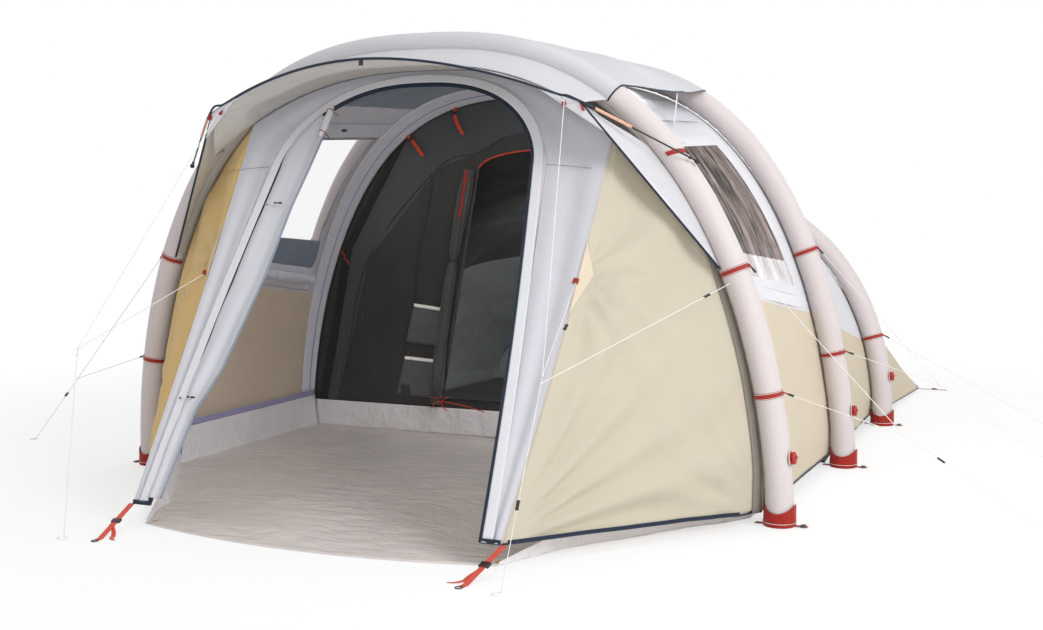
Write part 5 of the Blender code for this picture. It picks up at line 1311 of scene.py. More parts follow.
def build_canopy():
    """The canopy: straight lines from the beam to the bowed front edge, with tension folds."""
    way = np.linspace(0, 1, 54, endpoint=False)
    wing_in = wing_line(WINDOW_LOW + way * (CREASE_ROW - WINDOW_LOW))
    wing_out = between(wing_line(WINDOW_LOW) + [0.003, -0.003, 0], TIP, way)
    inner, outer = over_crease(np.linspace(CREASE_ROW, CROWN, 84))
    inner = mirrored(np.vstack([wing_in, inner + [0, -0.0005, 0]]))
    outer = mirrored(np.vstack([wing_out, outer]))
    across = np.linspace(0, 1, 34)
    grid = ruled(inner, outer, across)
    moved = relief(grid, 0.36, 71, 0.0034, 0.0010)
    for mirror in (1, MIRROR):
        moved = pucker(moved, TIP * mirror, 0.30, 11, 0.0050)
        moved = pucker(moved, canopy_edge(0.45) * mirror, 0.2, 8, 0.0018)
    grid = grid + (moved - grid) * inside(across, 0.10)[None, :, None]
    surface("canopy_cloth", grid, ["roof", "roof_in"], ["canopy"], thickness=SHEET)
    tube("canopy_piping", outer + [0, 0, -0.0010], 0.0046, "navy", sides=10)
    reach = unit(inner - outer)[:, None] * np.linspace(0.004, 0.030, 6)[:, None]
    surface("canopy_hem", outer[:, None] + reach - [0, 0, 0.0032], "white")
    for side, sign in SIDES.items():
        tip = on_side(side, TIP)
        edge = between(on_side(side, wing_line(WINDOW_LOW)), tip, 0.80)
        patch("canopy_patch_" + side, tip, canopy_edge(sign * 0.80), between(edge, tip, 0.12))
        start = node_points("guy_canopy_" + side)
        start = start[start[:, 2].argmax()]
        low = start + [0, -0.004, -0.022]
        share = abs(start[0]) / TIP[0]
        patch("line_patch_" + side, canopy_edge(sign * (share - 0.07)),
              canopy_edge(sign * (share + 0.07)), low)
        lump("line_tab_" + side, low, (0.016, 0.020, 0.007), frame_axes((0, 0.3, 1.0), (0, -1.0, 0)),
             "red")
        line = np.linspace(tip + [0, -0.003, -0.004], tip + [sign * 0.010, -0.006, -0.030], 8)
        strap("tip_tab_" + side, line, (0.3, 1, 0), 0.018, 0.0022)
    at = canopy_edge(-0.02)
    line = np.linspace(at + [0, -0.004, 0.004], at + [0, -0.006, -0.026], 8)
    strap("peak_tab", line, (1, 0, 0), 0.020, 0.0022, "black")


def patch(name, first, second, third):
    """A triangular reinforcing patch, set a little proud of the cloth."""
    ways = np.linspace(0, 1, 10)
    u, v = ways[:, None, None], ways[None, :, None] * 0.999
    grid = first + (second - first) * u * (1 - v) + (third - first) * u * v
    out = unit(np.cross(second - first, third - first))
    surface(name, grid + out * (0.0040 if out[1] < 0 else -0.0040), "white",
            thickness=0.0010)


def build_canopy_joins():
    """The cloth from the roof's front sleeve down to the canopy, and round the beam in its wings."""
    rows = np.linspace(SLEEVE_END, CROWN, 60)
    turn = math.radians(193)
    top = beam_point("front", at_row("front", rows), ROOF_LIFT * math.sin(turn),
                     ROOF_LIFT * math.cos(turn))
    foot = between(*over_crease(rows), 0.42) + [0, 0, 0.0055]
    surface("canopy_join", ruled(mirrored(top), mirrored(foot), np.linspace(0, 1, 14)),
            ["roof", "roof_in"])
    rows = np.linspace(WINDOW_LOW + 0.2, SLEEVE_END + 0.6, 80)[:, None]
    turn = np.radians(np.linspace(48, -6, 9))[None, :]
    lift = BEAM_RADIUS + 0.0042
    grid = beam_point("front", at_row("front", rows), -lift * np.cos(turn), -lift * np.sin(turn))
    for side in SIDES:
        surface("wing_wrap_" + side, on_side(side, grid), "roof_in")


def rod_end():
    """Where the rod ends on the right, outside the front beam."""
    share, out, ahead = ROD_END_PLACE
    return beam_point("front", angle_at("front", share * ARCHES["front"][1]), out, ahead)


def build_rod():
    """The sprung rod in the canopy's edge: red sleeves at its tips, a ball at each bare end."""
    reach = ROD_RADIUS + 0.0015
    edge = canopy_edge(np.linspace(-0.9, 0.9, 11)) + [0, -reach, 0]
    right = np.array([TIP + [reach, -reach, reach / 2], rod_end()])
    line = smooth(np.vstack([right[::-1] * MIRROR, edge, right]), 260)
    tube("rod_bar", line, ROD_RADIUS, "rod", sides=14, stands_for=["canopy_rod"])
    tube("rod_sleeve", line[34:227], ROD_RADIUS + 0.0011, "navy", sides=12)
    for side, part in (("left", line[28:44]), ("right", line[-44:-28])):
        tube("rod_tip_sleeve_" + side, part, ROD_RADIUS + 0.0024, "salmon", sides=12)
    for side, at, before in (("left", line[0], line[3]), ("right", line[-1], line[-4])):
        axes = frame_axes(at - before)
        lump("rod_ball_" + side, at, (0.021, 0.021, 0.021), axes, powers=(1, 1))
        lump("rod_collar_" + side, before, (0.012, 0.010, 0.012), axes, powers=(0.6, 0.6))
        build_rod_strap(side)


def build_rod_strap(side):
    """The strap that holds the rod's ball, led round the front of the beam, with its slider."""
    height = rod_end()[2]
    lift = BEAM_RADIUS + 0.003
    low, high = angle_at("front", height - 0.004), angle_at("front", height + 0.028)
    turns = np.radians(np.linspace(-92, 24, 30))
    angles = high + (low - high) * np.linspace(0, 1, 30)
    line = on_side(side, beam_point("front", angles, lift * np.cos(turns), lift * np.sin(turns)))
    rise = on_side(side, beam_point("front", angles + 0.03) - beam_point("front", angles))
    strap("ball_strap_" + side, line, rise, 0.019, 0.0022, stands_for=["rod_strap_" + side])
    across = unit(rise[22])
    out = np.cross(across, unit(line[23] - line[21]))
    lump("ball_strap_slider_" + side, line[22], (0.026, 0.020, 0.0085),
         [across, np.cross(out, across), out])


# Door leaf and toggles


def build_door_leaf():
    """The door leaf tied back to the left: long folds that run with it, drawn in at its ties."""
    heights, halves = np.array(LEAF_EDGE).T
    z, t = np.linspace(heights[0], heights[-1], 120)[:, None], np.linspace(0, 1, 66)[None, :]
    doorway = door_point(np.linspace(0, 1, 400))
    outer = np.interp(z, doorway[:, 2], doorway[:, 0]) + LEAF_DEPTH
    x = -(outer + (np.interp(z, heights, halves) - outer) * t)
    wander = np.sin(2 * math.pi * (2.5 * t + 0.35 * np.sin(4 * z))) * np.sin(math.pi * t) ** 2
    ahead = 0.0035 + LEAF_RIPPLE * (1 - np.cos(3 * math.pi * t)) + 0.0016 * wander
    tie = sum(np.exp(-((z - height) / 0.05) ** 2) for height in LEAF_TIES)
    ahead = ahead * (1 - 0.35 * tie * np.sin(math.pi * t))
    ahead = ahead + 0.0022 * waves(np.stack([x, 0 * x, z * 0.5 + 0 * x], -1), 0.12, 71)
    surface("door_leaf_cloth", panel_point(x, z, np.maximum(ahead, 0.0030)), "grey",
            ["door_leaf"], thickness=SHEET)
    edge = panel_point(x[:, -1], z[:, 0], ahead[:, -1] + 0.0012)
    tube("door_leaf_zip", edge, 0.0044, "liner")
    z, u = np.linspace(1.505, 1.632, 60), np.linspace(0, 1, 60)
    line = panel_point(-np.interp(z, [1.505, 1.54, 1.632], [0.412, 0.402, 0.398]), z, 0.024)
    radius = 0.014 * (0.55 + 0.45 * np.sin(math.pi * u) ** 0.5)
    shape = radius[:, None] * (1 + 0.10 * np.sin(3 * round_angles(28) + 8 * u[:, None]))
    tube("door_top_roll", line, shape, "white", sides=28, girth=0.014)
    for number, k in enumerate((8, 50)):
        way = unit(line[k + 1] - line[k - 1])
        side = unit(np.cross(way, FORE))
        up = np.cross(side, way)
        hoop(f"door_roll_tie_{number}", line[k], side, up, radius[k] + 0.0012, 0.0020, way, "red",
             count=36)
        for sign in (-1, 1):
            tail = smooth([line[k] + up * (radius[k] + rise) + side * sign * out - [0, 0, drop]
                           for rise, out, drop in ((0, 0, 0), (0.010, 0.012, 0), (0.006, 0.026, 0.010))],
                          14)
            tube(f"door_roll_tail_{number}_{sign + 1}", tail, 0.0020, "red")


def build_toggle(which):
    """A waisted bar toggle on its own joint, and the elastic loop that it is threaded through."""
    node = "door_toggle_" + which
    points = node_points(node)
    middle = (points.min(0) + points.max(0)) / 2
    line = np.linspace(middle - [0.0195, 0, 0], middle + [0.0195, 0, 0], 30)
    u = np.linspace(-1, 1, 30)
    radius = 0.0050 * (0.70 + 0.28 * u**2) * np.sqrt(np.clip(1 - u**8, 0.05, 1))
    tube("toggle_bar_" + which, line, radius, "black", UP, 20, [node], node + "_body")
    back = middle - TILT * 0.0102
    loop = smooth([back + [0.004, 0, 0.004], middle + [0.003, 0, 0.0064], middle + TILT * 0.0062,
                   middle + [-0.003, 0, -0.0064], back + [-0.004, 0, -0.006]], 24)
    tube("toggle_loop_" + which, loop, 0.0013, "line", reference=(1, 0, 0))
    tail = smooth([back + [-0.004, 0, -0.004], back + [-0.030, 0.002, -0.002] + TILT * 0.004,
                   back + [-0.060, 0.004, -0.004]], 20)
    tube("toggle_cord_" + which, tail, 0.0013, "line", reference=UP)
    lump("toggle_stop_" + which, tail[-1], (0.010, 0.007, 0.010), powers=(1, 1))


# Living-room floor


def floor_point(y, s):
    """The tub floor: flat for |s| up to 1, then up its side wall, its front edge bowed ahead.

    Crumples only lift it: a squared sum of waves, stronger near its edges and its front.
    """
    half = np.interp(y, FLOOR_PLACES, FLOOR_HALVES)
    wall = np.interp(y, FLOOR_PLACES, FLOOR_WALLS)
    flat = np.clip(s, -1, 1)
    up = np.clip(np.abs(s) - 1, 0, 1)
    reach = np.clip(FLOOR_PLACES[1] - y, 0, None) / (FLOOR_PLACES[1] - FLOOR_PLACES[0])
    x = half * flat + np.sign(s) * FLOOR_LEAN * wall / FLOOR_WALLS[-1] * up
    y_bowed = y + (FLOOR_FRONT_MIDDLE - FLOOR_PLACES[0]) * reach * (1 - flat**2) + 0 * x
    ground = np.stack([x, y_bowed, 0 * x], -1)
    crumple = waves(ground * [1, 1.6, 1], 0.55, 81) + 0.5 * waves(ground, 0.17, 82)
    ridge = 1 - np.abs(waves(ground * [0.7, 1.3, 1], 0.34, 83))
    sharp = 1 - np.abs(waves(ground * [0.5, 1.6, 1], 0.20, 86, 11))
    lift = 0.0026 * (1 + np.clip(crumple, -1, 2)) + 0.0062 * np.clip(ridge - 0.55, 0, 1)
    lift = lift + 0.0050 * np.clip(sharp - 0.7, 0, 1)
    edge = np.clip((y - FLOOR_PLACES[0]) / 0.12, 0, 1)
    bulge = 0.006 * np.sin(math.pi * up) * waves(ground, 0.28, 84)
    return np.stack([x + np.sign(s) * bulge, y_bowed,
                     0.0018 + lift * edge * (up < 0.001) + wall * up], -1)


def build_floor():
    """The living-room floor with its upstand, the tape along its top and its corner ties."""
    front, back = FLOOR_PLACES[0], FLOOR_PLACES[-1]
    y = np.linspace(front, back, 150)[:, None]
    s = np.concatenate([np.linspace(-2, -1, 12)[:-1], np.linspace(-1, 1, 130),
                        np.linspace(1, 2, 12)[1:]])
    zone = np.zeros((149, len(s) - 1), int)
    zone[:, :11] = zone[:, -11:] = 1
    surface("floor_cloth", floor_point(y, s), ["floor", "upstand", "floor", "upstand"],
            ["groundsheet"], zone, SHEET, wall=2)
    x, up = np.linspace(-1, 1, 150)[None, :], np.linspace(0, 1, 14)[:, None]
    x_places = (FLOOR_HALVES[-1] + FLOOR_LEAN * up) * x
    base = np.stack([x_places, back + 0.011 * up + 0 * x, 0.003 + 0.140 * up + 0 * x], -1)
    ripple = 0.006 * waves(base, 0.25, 85) * np.sin(math.pi * up) + 0.0012 * up * np.sin(90 * x)
    base[..., 1] -= 0.004 + np.abs(ripple)
    surface("floor_back_wall", base, "upstand", thickness=SHEET)
    top = floor_point(np.linspace(FLOOR_PLACES[3], back - 0.01, 80), 2.0) - [0.0030, 0, 0]
    tape = top[:, None] + np.linspace(-0.015, 0.015, 5)[:, None] * UP
    for side in SIDES:
        surface("floor_tape_" + side, on_side(side, tape), "lilac")
        for name, place in (("front", -1.215), ("back", 0.120)):
            foot, head = floor_point(place, 1.25), floor_point(place + 0.010, 1.85)
            line = smooth([foot - [0.004, 0, 0], (foot + head) / 2 - [0.012, -0.004, 0],
                           head - [0.004, 0, 0]], 20)
            tube(f"floor_tie_{name}_{side}", on_side(side, line), 0.0016, "dark")
    hem = floor_point(front, np.linspace(-1, 1, 160)) + [0, 0, 0.0022]
    tube("floor_front_hem", hem, 0.0034, "floor", reference=UP)
    centre = floor_point(front + 0.045, 0.955) + [0, 0, 0.0022]
    for side in SIDES:
        hoop("floor_eyelet_" + side, on_side(side, centre), (1, 0, 0), FORE, 0.0085, 0.0028, UP,
             "brass", count=40, sides=10)


# Bedroom


def bedroom_inset(share):
    """How far inside the fly the bedroom hangs: close to it in front, farther back from it."""
    return float(np.interp(share, (BEDROOM_FRONT_SHARE, 0.28), BEDROOM_INSETS))


def ring_y(share):
    """Where a section of the bedroom stands along the tent: its stations' mean place."""
    return bedroom_skin(CAD_RING_ROWS, share, SEAT + bedroom_inset(share))[:, 1].mean()


def bedroom_over(rows, share):
    """A section of the bedroom's roof and sides, from right to left."""
    over = bedroom_skin(rows, share, SEAT + bedroom_inset(share))
    over[:, 1] = ring_y(share)
    return over


def build_bedroom():
    """The hung bedroom: roof and sides, a low rear part, a back wall and a floor, softly slack."""
    rows = np.linspace(0.7, LAST_ROW - 0.7, 190)
    grid = np.stack([bedroom_over(rows, share)
                     for share in np.linspace(BEDROOM_FRONT_SHARE, 1, 46)], 1)
    last = grid[:, -1]
    wide, high = BEDROOM_TAIL_SCALE
    tail = last * [wide, 1, high] + [0, BEDROOM_TAIL, 0]
    grid = np.concatenate([grid, ruled(last, tail, np.linspace(0, 1, 26)[1:])], 1)
    right, left = ([end * [1, 1, 0] + [0, 0, 0.004] + (end - [0, 0, 0.004]) * [0, 0, share]
                    for share in np.linspace(0, 1, 5)[:-1]] for end in (grid[0], grid[-1]))
    grid = np.concatenate([right, grid, left[::-1]])
    up = np.clip(np.arange(grid.shape[1]) / 4, 0, 1)[None, :, None]
    normal = normals_of(grid)
    slack = grid - 0.010 * up * normal * np.sign(normal[95, 30, 2])
    grid = relief(slack, 0.34, 91, 0.0060, 0.0022)
    grid[..., 2] = np.maximum(grid[..., 2], 0.004)
    low_panel = 0.80 + 0.30 * (grid[..., 1] - 1.2) - grid[..., 2]
    surface("bedroom_roof", grid, "hung", ["bedroom_shell"], thickness=SHEET,
            fields={"low_panel": low_panel})
    back = grid[:, -1]
    wall = ruled(back * [1, 1, 0] + [0, 0, 0.004], back, np.linspace(0, 1, 12))
    surface("bedroom_back", relief(wall, 0.3, 93, 0.003) + [0, -0.004, 0], "hung", thickness=SHEET,
            fields={"low_panel": np.ones(wall.shape[:2])})
    ends = (BEDROOM_FRONT_Y, ring_y(1.0), back[0, 1])
    halves = (bedroom_over(CAD_RING_ROWS, BEDROOM_FRONT_SHARE)[0, 0], last[0, 0], tail[0, 0])
    y = np.linspace(ends[0], ends[-1], 90)[:, None]
    x = np.linspace(-1, 1, 90)[None, :] * np.interp(y, ends, halves)
    flat = np.stack([x, y + 0 * x, 0 * x], -1)
    flat[..., 2] = 0.003 + 0.0030 * (1 + np.clip(waves(flat, 0.4, 95), -1, 1))
    surface("bedroom_floor", flat, "darker", thickness=SHEET)


def bedroom_door_edge(outer):
    """The bedroom doorway: for each point of the wall's outer edge, the one towards the middle.

    The doorway is |side|^3 + head^2 < 1 above its sill, its left leg leaning; each point is the
    last on its ray from the middle that still lies in it.
    """
    middle = np.array([(BED_LEFT[1] + BED_RIGHT) / 2, (BED_SILL + BED_TOP[1]) / 2])
    rays = outer[:, [0, 2]] - middle
    share = np.linspace(0, 1, 500)
    x, z = np.moveaxis(middle + rays[:, None] * share[:, None], -1, 0)
    height = np.clip((z - BED_SILL) / (BED_TOP[0] - BED_SILL), 0, 1)
    left = BED_LEFT[0] + (BED_LEFT[1] - BED_LEFT[0]) * height
    half = (BED_RIGHT - left) / 2
    side = np.abs((x - (left + half)) / half)
    head = np.clip((z - BED_TOP[0]) / (BED_TOP[1] - BED_TOP[0]), 0, 9)
    best = np.where((side**3 + head**2 < 1) & (z > BED_SILL), share, 0).max(1)
    x, z = (middle + rays * best[:, None]).T
    return np.stack([x, outer[:, 1], z], -1)


def on_front(x, z, ahead):
    """A point that far in front of the bedroom's front wall."""
    return np.stack(np.broadcast_arrays(x, BEDROOM_FRONT_Y - ahead, z), -1)


def seam_x(name, z):
    """How far to the side a seam of the front wall lies, at each height."""
    x, height = np.array(SEAMS[name][::-1]).T
    return np.interp(z, height, x)


def build_bedroom_front():
    """The bedroom's front wall, a ring of cloth round its doorway, with its seams and trims."""
    rows = np.linspace(0.7, LAST_ROW - 0.7, 260)
    over = bedroom_over(rows, BEDROOM_FRONT_SHARE)
    foot = np.linspace(-1, 1, 90)[1:-1, None] * [over[0, 0], 0, 0] + [0, 0, 0.003]
    outer = np.vstack([over, foot])
    outer[:, 1] = BEDROOM_FRONT_Y
    inner = bedroom_door_edge(outer)
    across = np.linspace(0, 1, 40)
    grid = ruled(outer, inner, across)
    folds = 0.0040 * waves(grid * [1, 1, 0.35], 0.16, 101) + 0.0050 * waves(grid, 0.5, 103)
    fade = np.sin(math.pi * across) ** 0.5 * np.clip(grid[..., 2] / 0.2, 0, 1)
    grid[..., 1] += fade * folds - 0.001
    x, z = grid[..., 0], grid[..., 2]
    fold, side = seam_x("fold", z), seam_x("side", z)
    fields = {"charcoal_panel": np.minimum(fold - x, x - side),
              "mesh_strip": np.minimum(side - x, x - side + 0.055)}
    surface("bedroom_front_wall", grid, "panelled", ["bedroom_front"], thickness=SHEET,
            closed=(True, False), fields=fields)
    for name, points in SEAMS.items():
        line = smooth(on_front(*np.array(points).T, 0.0062), 80)
        tube("bedroom_seam_" + name, line, 0.0022, "darker", sides=6)
    bound = over * [1, 0, 1] + [0, BEDROOM_FRONT_Y - 0.004, 0]
    ahead = living_skin(rows, 0.945, SEAT + 0.0050)
    way = np.linspace(0, 1, 16)
    lining = ruled(bound, ahead, way)
    gather = np.sin(running(bound)[:, None] * 150 + 2.5 * np.sin(way * 4)) * np.sin(math.pi * way)
    lining = lining - normals_of(lining) * (0.0022 * gather)[..., None]
    surface("bedroom_lining", lining, "lining")
    for number, (share, paint) in enumerate(((0.0, "black"), (0.45, "lilac"))):
        cord = between(bound, ahead, share)
        inward = unit(([0, 0, 0.7] - cord) * [1, 0, 1])
        tube(f"bedroom_lining_cord_{number}", cord + inward * 0.004, 0.0026, paint)
    door = inner[:len(over)]
    head = door[door[:, 2] > 1.40]
    tube("bedroom_zip", head + [0, -0.006, 0], 0.0042, "orange")
    leg = door[(door[:, 0] > 0.3) & (door[:, 2] <= 1.40) & (door[:, 2] > BED_SILL + 0.01)]
    tube("bedroom_zip_leg", leg + [0, -0.006, 0], 0.0036, "black")
    sill = on_front(np.linspace(BED_LEFT[0], BED_RIGHT, 40), BED_SILL, 0.006)
    tube("bedroom_sill", sill, 0.0036, "black")
    drop, run = np.linspace(0, 1, 16)[:, None], np.linspace(0, 1, 24)[None, :]
    for number, ((x0, z0), (x1, z1)) in enumerate((((-0.781, 0.684), (-0.613, 0.666)),
                                                   ((-0.840, 0.399), (-0.630, 0.388)))):
        line = on_front(np.linspace(x0, x1, 24), np.linspace(z0, z1, 24), 0.0095)
        strap(f"reflector_{number}", line, UP, 0.017, 0.0016, "reflector")
        x = x0 + (x1 - x0) * run + (-0.05 * (1 - run) + 0.015 * run) * drop
        z = z0 + (z1 - z0) * run - 0.20 * drop
        pocket = on_front(x, z, 0.0075 + 0.004 * np.sin(math.pi * drop))
        surface(f"pocket_{number}", relief(pocket, 0.10, 111 + number, 0.0020), "charcoal")
    for number, points in enumerate((((-0.528, 1.735), (-0.522, 1.665), (-0.486, 1.581)),
                                     ((-0.820, 1.585), (-0.770, 1.545), (-0.718, 1.470)))):
        build_hanger(f"hanger_{number}_left", np.array(points))
        build_hanger(f"hanger_{number}_right", np.array(points) * [-1, 1])


def build_hanger(name, points):
    """An orange strap that hangs from the fly's ceiling over the bedroom's front, with its slider."""
    line = smooth(on_front(*points.T, 0.012), 30)
    line[:, 1] -= 0.014 * np.sin(math.pi * np.linspace(0, 1, 30))
    along = unit(line[-1] - line[0])
    across = np.cross(along, FORE)
    strap(name, line, across, 0.019, 0.0022, "orange")
    lump(name + "_slider", line[8] + [0, -0.002, 0], (0.027, 0.016, 0.008), [across, along, FORE])


def build_door_roll():
    """The bedroom's door rolled up to the left of its doorway, with its tapes and ties."""
    heights = node_points("bedroom_door_roll")[:, 2]
    z, u = np.linspace(heights.min(), heights.max(), 130), np.linspace(0, 1, 130)
    x = BED_LEFT[0] - 0.036 + (BED_LEFT[1] - BED_LEFT[0]) * u - 0.018 * np.sin(math.pi * u)
    line = on_front(x, z, 0.0375)
    radius = 0.0310 + 0.0030 * np.sin(7 * u + 1) + 0.0020 * np.sin(17 * u)
    radius = radius - sum(0.0085 * np.exp(-((u - tie) / 0.028) ** 2) for tie in (0.03, 0.62, 0.985))
    turn, t = round_angles(64)[None, :], u[:, None]
    folds = 0.05 * np.sin(5 * turn + 3 * np.sin(5 * t)) + 0.03 * np.sin(11 * turn - 9 * t)
    roll = tube("bedroom_door_cloth", line, radius[:, None] * (0.95 + folds), "dark", sides=64,
                stands_for=["bedroom_door_roll"], girth=0.03)
    for number, (k, paint) in enumerate(((4, "red"), (80, "black"), (124, "red"))):
        hoop(f"door_tie_{number}", line[k], (1, 0, 0), FORE, radius[k] * 1.02 + 0.001, 0.0032, UP,
             paint)
    tape = on_front([-0.432, -0.452, -0.476], [1.395, 1.280, 1.153], 0.078)
    strap("door_tape", smooth(tape, 40), (1, 0.3, 0), 0.014, 0.0024)
    for number, points in enumerate((
        ((-0.615, 0.178, 0.088), (-0.640, 0.150, 0.084)),
        ((-0.556, 0.206, 0.088), (-0.534, 0.212, 0.080)),
        ((-0.480, 0.172, 0.060), (-0.355, 0.137, 0.030)),
        ((-0.570, 0.156, 0.090), (-0.546, 0.142, 0.086)),
    )):
        line = smooth(on_front(*np.array([DOOR_KNOT, *points]).T), 24)
        tube(f"door_cord_{number}", line, 0.0024, "orange", reference=UP)
    for number, (x, z) in enumerate(((-1.215, 0.962), (-1.190, 0.920))):
        knot = on_front([x - 0.02, x, x + 0.015], [z + 0.004, z - 0.006, z - 0.030], 0.012)
        tube(f"lining_tie_{number}", smooth(knot, 16), 0.0026, "orange")


# Corner straps, guy lines and their runners


def strap_run(side):
    """The run of a front corner strap, from under the panel's hem down to its peg end."""
    drop = SHEET_THICK / 4 + 0.0005 + WEBBING / 2
    start = panel_point(STRAP_TOP_X, PANEL_HEM[2]) + [0, SHEET_THICK, -drop]
    end = np.array([*STRAP_END, WEBBING])
    knee = end + unit((start - end) * [1, 1, 0]) * 0.025
    return on_side(side, np.array([start, (start + knee) / 2, knee, end]))


def build_corner_strap(side):
    """Red webbing from the front panel's corner to its peg end, with its loose tail."""
    start, middle, knee, end = strap_run(side)
    across = unit(np.cross(end - start, UP))
    strap("corner_webbing_" + side, np.vstack([np.linspace(start, knee, 30), end]), across, 0.0245,
          0.0022, "orange", stands_for=["corner_strap_front_" + side])
    drops = [(0.004, 0, 0.004), (-0.030, -0.030, -0.022), (-0.052, -0.070, -0.050),
             (-0.075, -0.085, -0.0575)]
    tail = smooth(between(start, knee, 0.62) + on_side(side, np.array(drops)), 30)
    tail[:, 2] = np.maximum(tail[:, 2], 0.0030)
    strap("strap_tail_" + side, tail, across, 0.019, 0.0020, "orange")
    ahead = unit((end - knee) * [1, 1, 0])
    centre = (end + ahead * 0.012) * [1, 1, 0] + [0, 0, 0.0030]
    hoop("strap_ring_" + side, centre, ahead, across, 0.012, 0.0022, UP, "black", count=40)
    if side == "left":
        lump("strap_buckle_plain", middle, (0.038, 0.026, 0.0085), frame_axes(knee - start))


def build_buckle():
    """The ladder buckle on the right strap: a frame with two slots and its bars."""
    start, middle, knee, _ = strap_run("right")
    axes = frame_axes(knee - start)
    for name, shift, size in (
        ("left", (-0.0165, 0, 0), (0.006, 0.028, 0.0085)),
        ("right", (0.0165, 0, 0), (0.006, 0.028, 0.0085)),
        ("low", (0, -0.0115, 0.0028), (0.036, 0.0055, 0.0040)),
        ("middle", (0, 0, 0.0032), (0.036, 0.0060, 0.0045)),
        ("high", (0, 0.0115, 0.0028), (0.036, 0.0055, 0.0040)),
        ("under", (0, 0, -0.0034), (0.036, 0.020, 0.0026)),
    ):
        lump("buckle_" + name, middle + np.array(shift) @ axes, size, axes, body="strap_buckle_body",
             stands_for=["strap_buckle"] if name == "left" else ())


def surface_start(arch, band, towards, drop=0.0):
    """A point just off a beam's band, on the side that faces the given place."""
    angle = angle_at(arch, ARCHES[arch][1] * BAND_SHARES[arch][band] - drop)
    axis = beam_point(arch, angle)
    along = unit(beam_point(arch, angle + math.radians(1)) - axis)
    line = unit(towards - axis)
    slant = np.dot(line, along)
    proud = BAND_HALF if drop == 0 else 0
    return axis + unit(line - along * slant) * (BEAM_RADIUS + proud + GUY_RADIUS * abs(slant) + 0.0006)


def stop_short(point, knot, ends):
    """The end of a line tied at a knot of another, just clear of that line's two arms."""
    back = unit(point - np.asarray(knot))
    far = KNOT_SHARE * GUY_RADIUS + 0.0005
    for end in ends:
        cosine = float(np.dot(back, unit(np.subtract(end, knot))))
        if cosine > 0:
            far = max(far, (2 * GUY_RADIUS + 0.0005) / math.sqrt(1 - cosine**2))
    return knot + back * far


def guy_routes():
    """Every line's corners, by name: where it starts, its knots and its end."""
    tab = canopy_edge(0.927) + [0, 0, -(0.0015 + 0.0006 + GUY_RADIUS)]
    seam = seam_point(0.62)
    seam = seam + unit(FRONT_KNOT - seam) * (0.0015 + GUY_RADIUS + 0.0005)
    second = FRONT_KNOT + unit(FRONT_PEG - FRONT_KNOT) * 0.025
    front = surface_start("front", 1, second, 0.039)
    upper, lower = (surface_start("front", band, SIDE_KNOT) for band in (1, 0))
    high, low = (surface_start("middle", band, MIDDLE_KNOT) for band in (1, 0))
    both = {
        "guy_canopy": ((tab, FRONT_KNOT, second, FRONT_PEG), (1, 2), True),
        "guy_seam": ((seam, stop_short(seam, FRONT_KNOT, (tab, FRONT_PEG))), (), False),
        "guy_side_upper": ((upper, SIDE_KNOT, SIDE_PEG), (1,), True),
        "guy_side_lower": ((lower, stop_short(lower, SIDE_KNOT, (upper, SIDE_PEG))), (), False),
    }
    right = {
        "guy_front": ((front, stop_short(front, second, (FRONT_KNOT, FRONT_PEG))), (), False),
        "guy_middle_upper": ((high, MIDDLE_KNOT, MIDDLE_PEG), (1,), True),
        "guy_middle_lower": ((low, stop_short(low, MIDDLE_KNOT, (high, MIDDLE_PEG))), (), False),
        "guy_rear": ((surface_start("rear", 0, REAR_PEG), REAR_PEG), (), True),
    }
    return both, right


def ground_loop(point, before):
    """The tied loop at a line's end, lying on the ground round its peg's place."""
    ahead = unit((point - before) * [1, 1, 0])
    side = np.array([-ahead[1], ahead[0], 0])
    turn = np.radians(np.linspace(205, 500, 17))[:, None]
    return point + ahead * 0.018 + 0.018 * (ahead * np.cos(turn) + side * np.sin(turn))


def guy_points(corners, knots, loop):
    """A line's points and the share of its radius at each, thicker where it is knotted."""
    route = []
    for i, (a, b) in enumerate(zip(corners, corners[1:])):
        steps = max(6, int(np.linalg.norm(b - a) / 0.025))
        along = unit(b - a)
        if i in knots:
            route += [(a + along * reach, size)
                      for reach, size in ((0.0, KNOT_SHARE), (0.003, 2.0), (0.0055, 1.0))]
        elif i == 0:
            route.append((a, 1.0))
        route += [(a + (b - a) * k / steps, 1.0) for k in range(1, steps)]
        if i + 1 in knots:
            route += [(b - along * reach, size) for reach, size in ((0.0055, 1.0), (0.003, 2.0))]
    route.append((corners[-1], 1.0))
    if loop:
        route += [(point, 1.0) for point in ground_loop(corners[-1], corners[-2])]
    points, sizes = zip(*route)
    return np.array(points), np.array(sizes)


def build_guy(name, side, corners, knots, loop):
    """A taut braided line through its corners, with a small knot where it is tied."""
    points, sizes = guy_points(np.array(corners, float), knots, loop)
    points = on_side(side, points)
    curve = bpy.data.curves.new(name, "CURVE")
    curve.dimensions = "3D"
    curve.bevel_depth = GUY_RADIUS
    curve.bevel_resolution = 3
    curve.use_fill_caps = True
    spline = curve.splines.new("POLY")
    spline.points.add(len(points) - 1)
    spline.points.foreach_set("co", np.hstack([points, np.ones((len(points), 1))]).ravel())
    spline.points.foreach_set("radius", sizes)
    curve.materials.append(PAINT["cord"])
    line = bpy.data.objects.new("line_" + name, curve)
    bpy.context.scene.collection.objects.link(line)
    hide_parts(name)
    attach(line, ROOT)
    return points


def left_tab():
    """Where the left seam's line starts: the outer corner of the patch on the wing."""
    at = seam_point(0.56, "left")
    back = beam_point("front", at_row("front", 0.62 * SEAM_HEADS["left"]), -SEAT)
    return on_side("left", between(at, back, 0.10)) + [0, -0.008, 0]


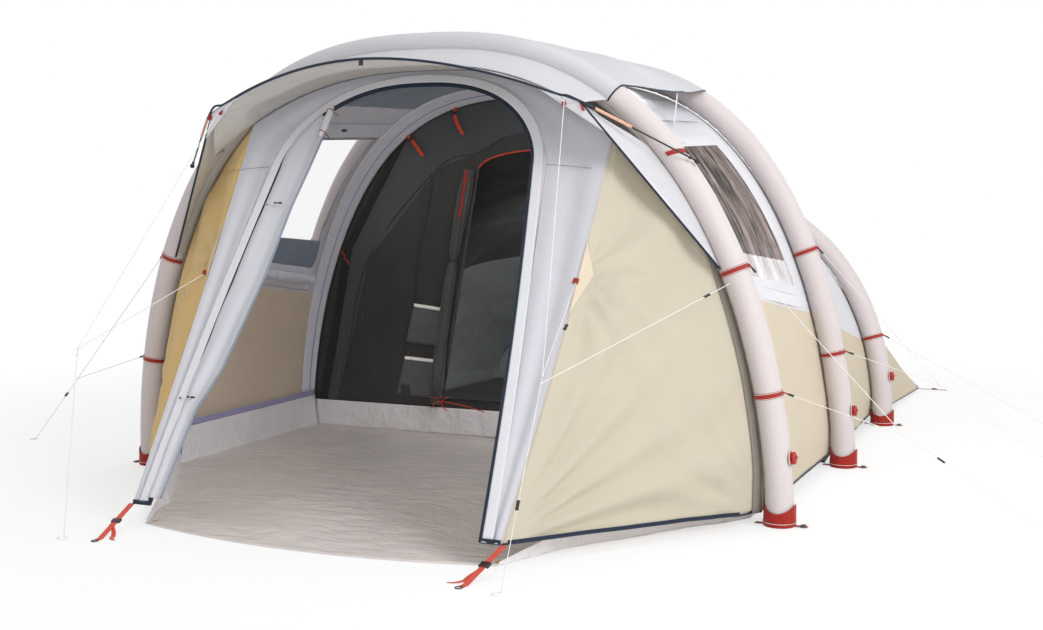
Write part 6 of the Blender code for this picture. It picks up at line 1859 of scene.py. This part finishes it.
def build_guys():
    """The guy lines of both sides, with a webbing tab where each leaves a beam."""
    both, right = guy_routes()
    for side in SIDES:
        for name, (corners, knots, loop) in both.items():
            if name == "guy_seam" and side == "left":
                corners = (left_tab() * MIRROR, corners[1])
            points = build_guy(f"{name}_{side}", side, corners, knots, loop)
            if name.startswith("guy_side"):
                build_tab(f"{name}_{side}_tab", points)
    for name, route in right.items():
        points = build_guy(name + "_right", "right", *route)
        if name != "guy_front":
            build_tab(name + "_tab", points)
    for side, at in (("right", seam_point(0.62)), ("left", left_tab())):
        lump("seam_tab_" + side, at + [0, -0.005, 0.002], (0.022, 0.022, 0.006),
             frame_axes((0.2, 0.4, 1.0), (0, -1.0, 0)), "red")


def build_tab(name, points):
    """A short red webbing tab from a band to its line, and the dark clip at the line's start."""
    along = unit(points[1] - points[0])
    line = points[0] + along * np.linspace(-0.004, 0.020, 8)[:, None]
    strap(name, line, np.cross(along, (0, 0.3, 1.0)), 0.014, 0.0046)
    lump(name + "_clip", points[0] + along * 0.030, (0.012, 0.024, 0.008), frame_axes(along),
         waist=0.3)


def build_runner(name):
    """A guy-line runner: a waisted bar with a raised rim at each end, on its own body."""
    points = node_points(name)
    middle = (points.min(0) + points.max(0)) / 2
    along, across, _ = np.linalg.svd(points - middle, full_matrices=False)[2]
    axes = np.array([across, along, np.cross(across, along)])
    body = name + "_body"
    lump("runner_bar_" + name, middle, (0.0110, 0.0330, 0.0078), axes, powers=(0.45, 0.45),
         waist=0.22, body=body, stands_for=[name])
    for number, way in enumerate((-1, 1)):
        lump(f"runner_rim_{name}_{number}", middle + along * way * 0.0135, (0.0130, 0.0062, 0.0082),
             axes, powers=(0.5, 0.5), body=body)


# The whole tent


def build():
    """Every piece of the tent, from the lines and beams to the small fittings."""
    build_guys()
    for arch in ARCHES:
        build_beam(arch)
        build_valve(arch)
        for side in SIDES:
            build_boot(arch, side)
    for step in (build_living_fly, build_roof, build_bedroom_fly, build_end_wall, build_front_panel,
                 build_canopy, build_canopy_joins, build_rod, build_door_leaf, build_floor,
                 build_bedroom, build_bedroom_front, build_door_roll, build_buckle):
        step()
    for which in ("upper", "lower"):
        build_toggle(which)
    for side in SIDES:
        for step in (build_window, build_curtain, build_vent, build_wedge, build_corner_strap):
            step(side)
    for name in ("front_right", "seam_right", "canopy_right", "side_right", "side_left"):
        build_runner("runner_" + name)


set_stage()
build()
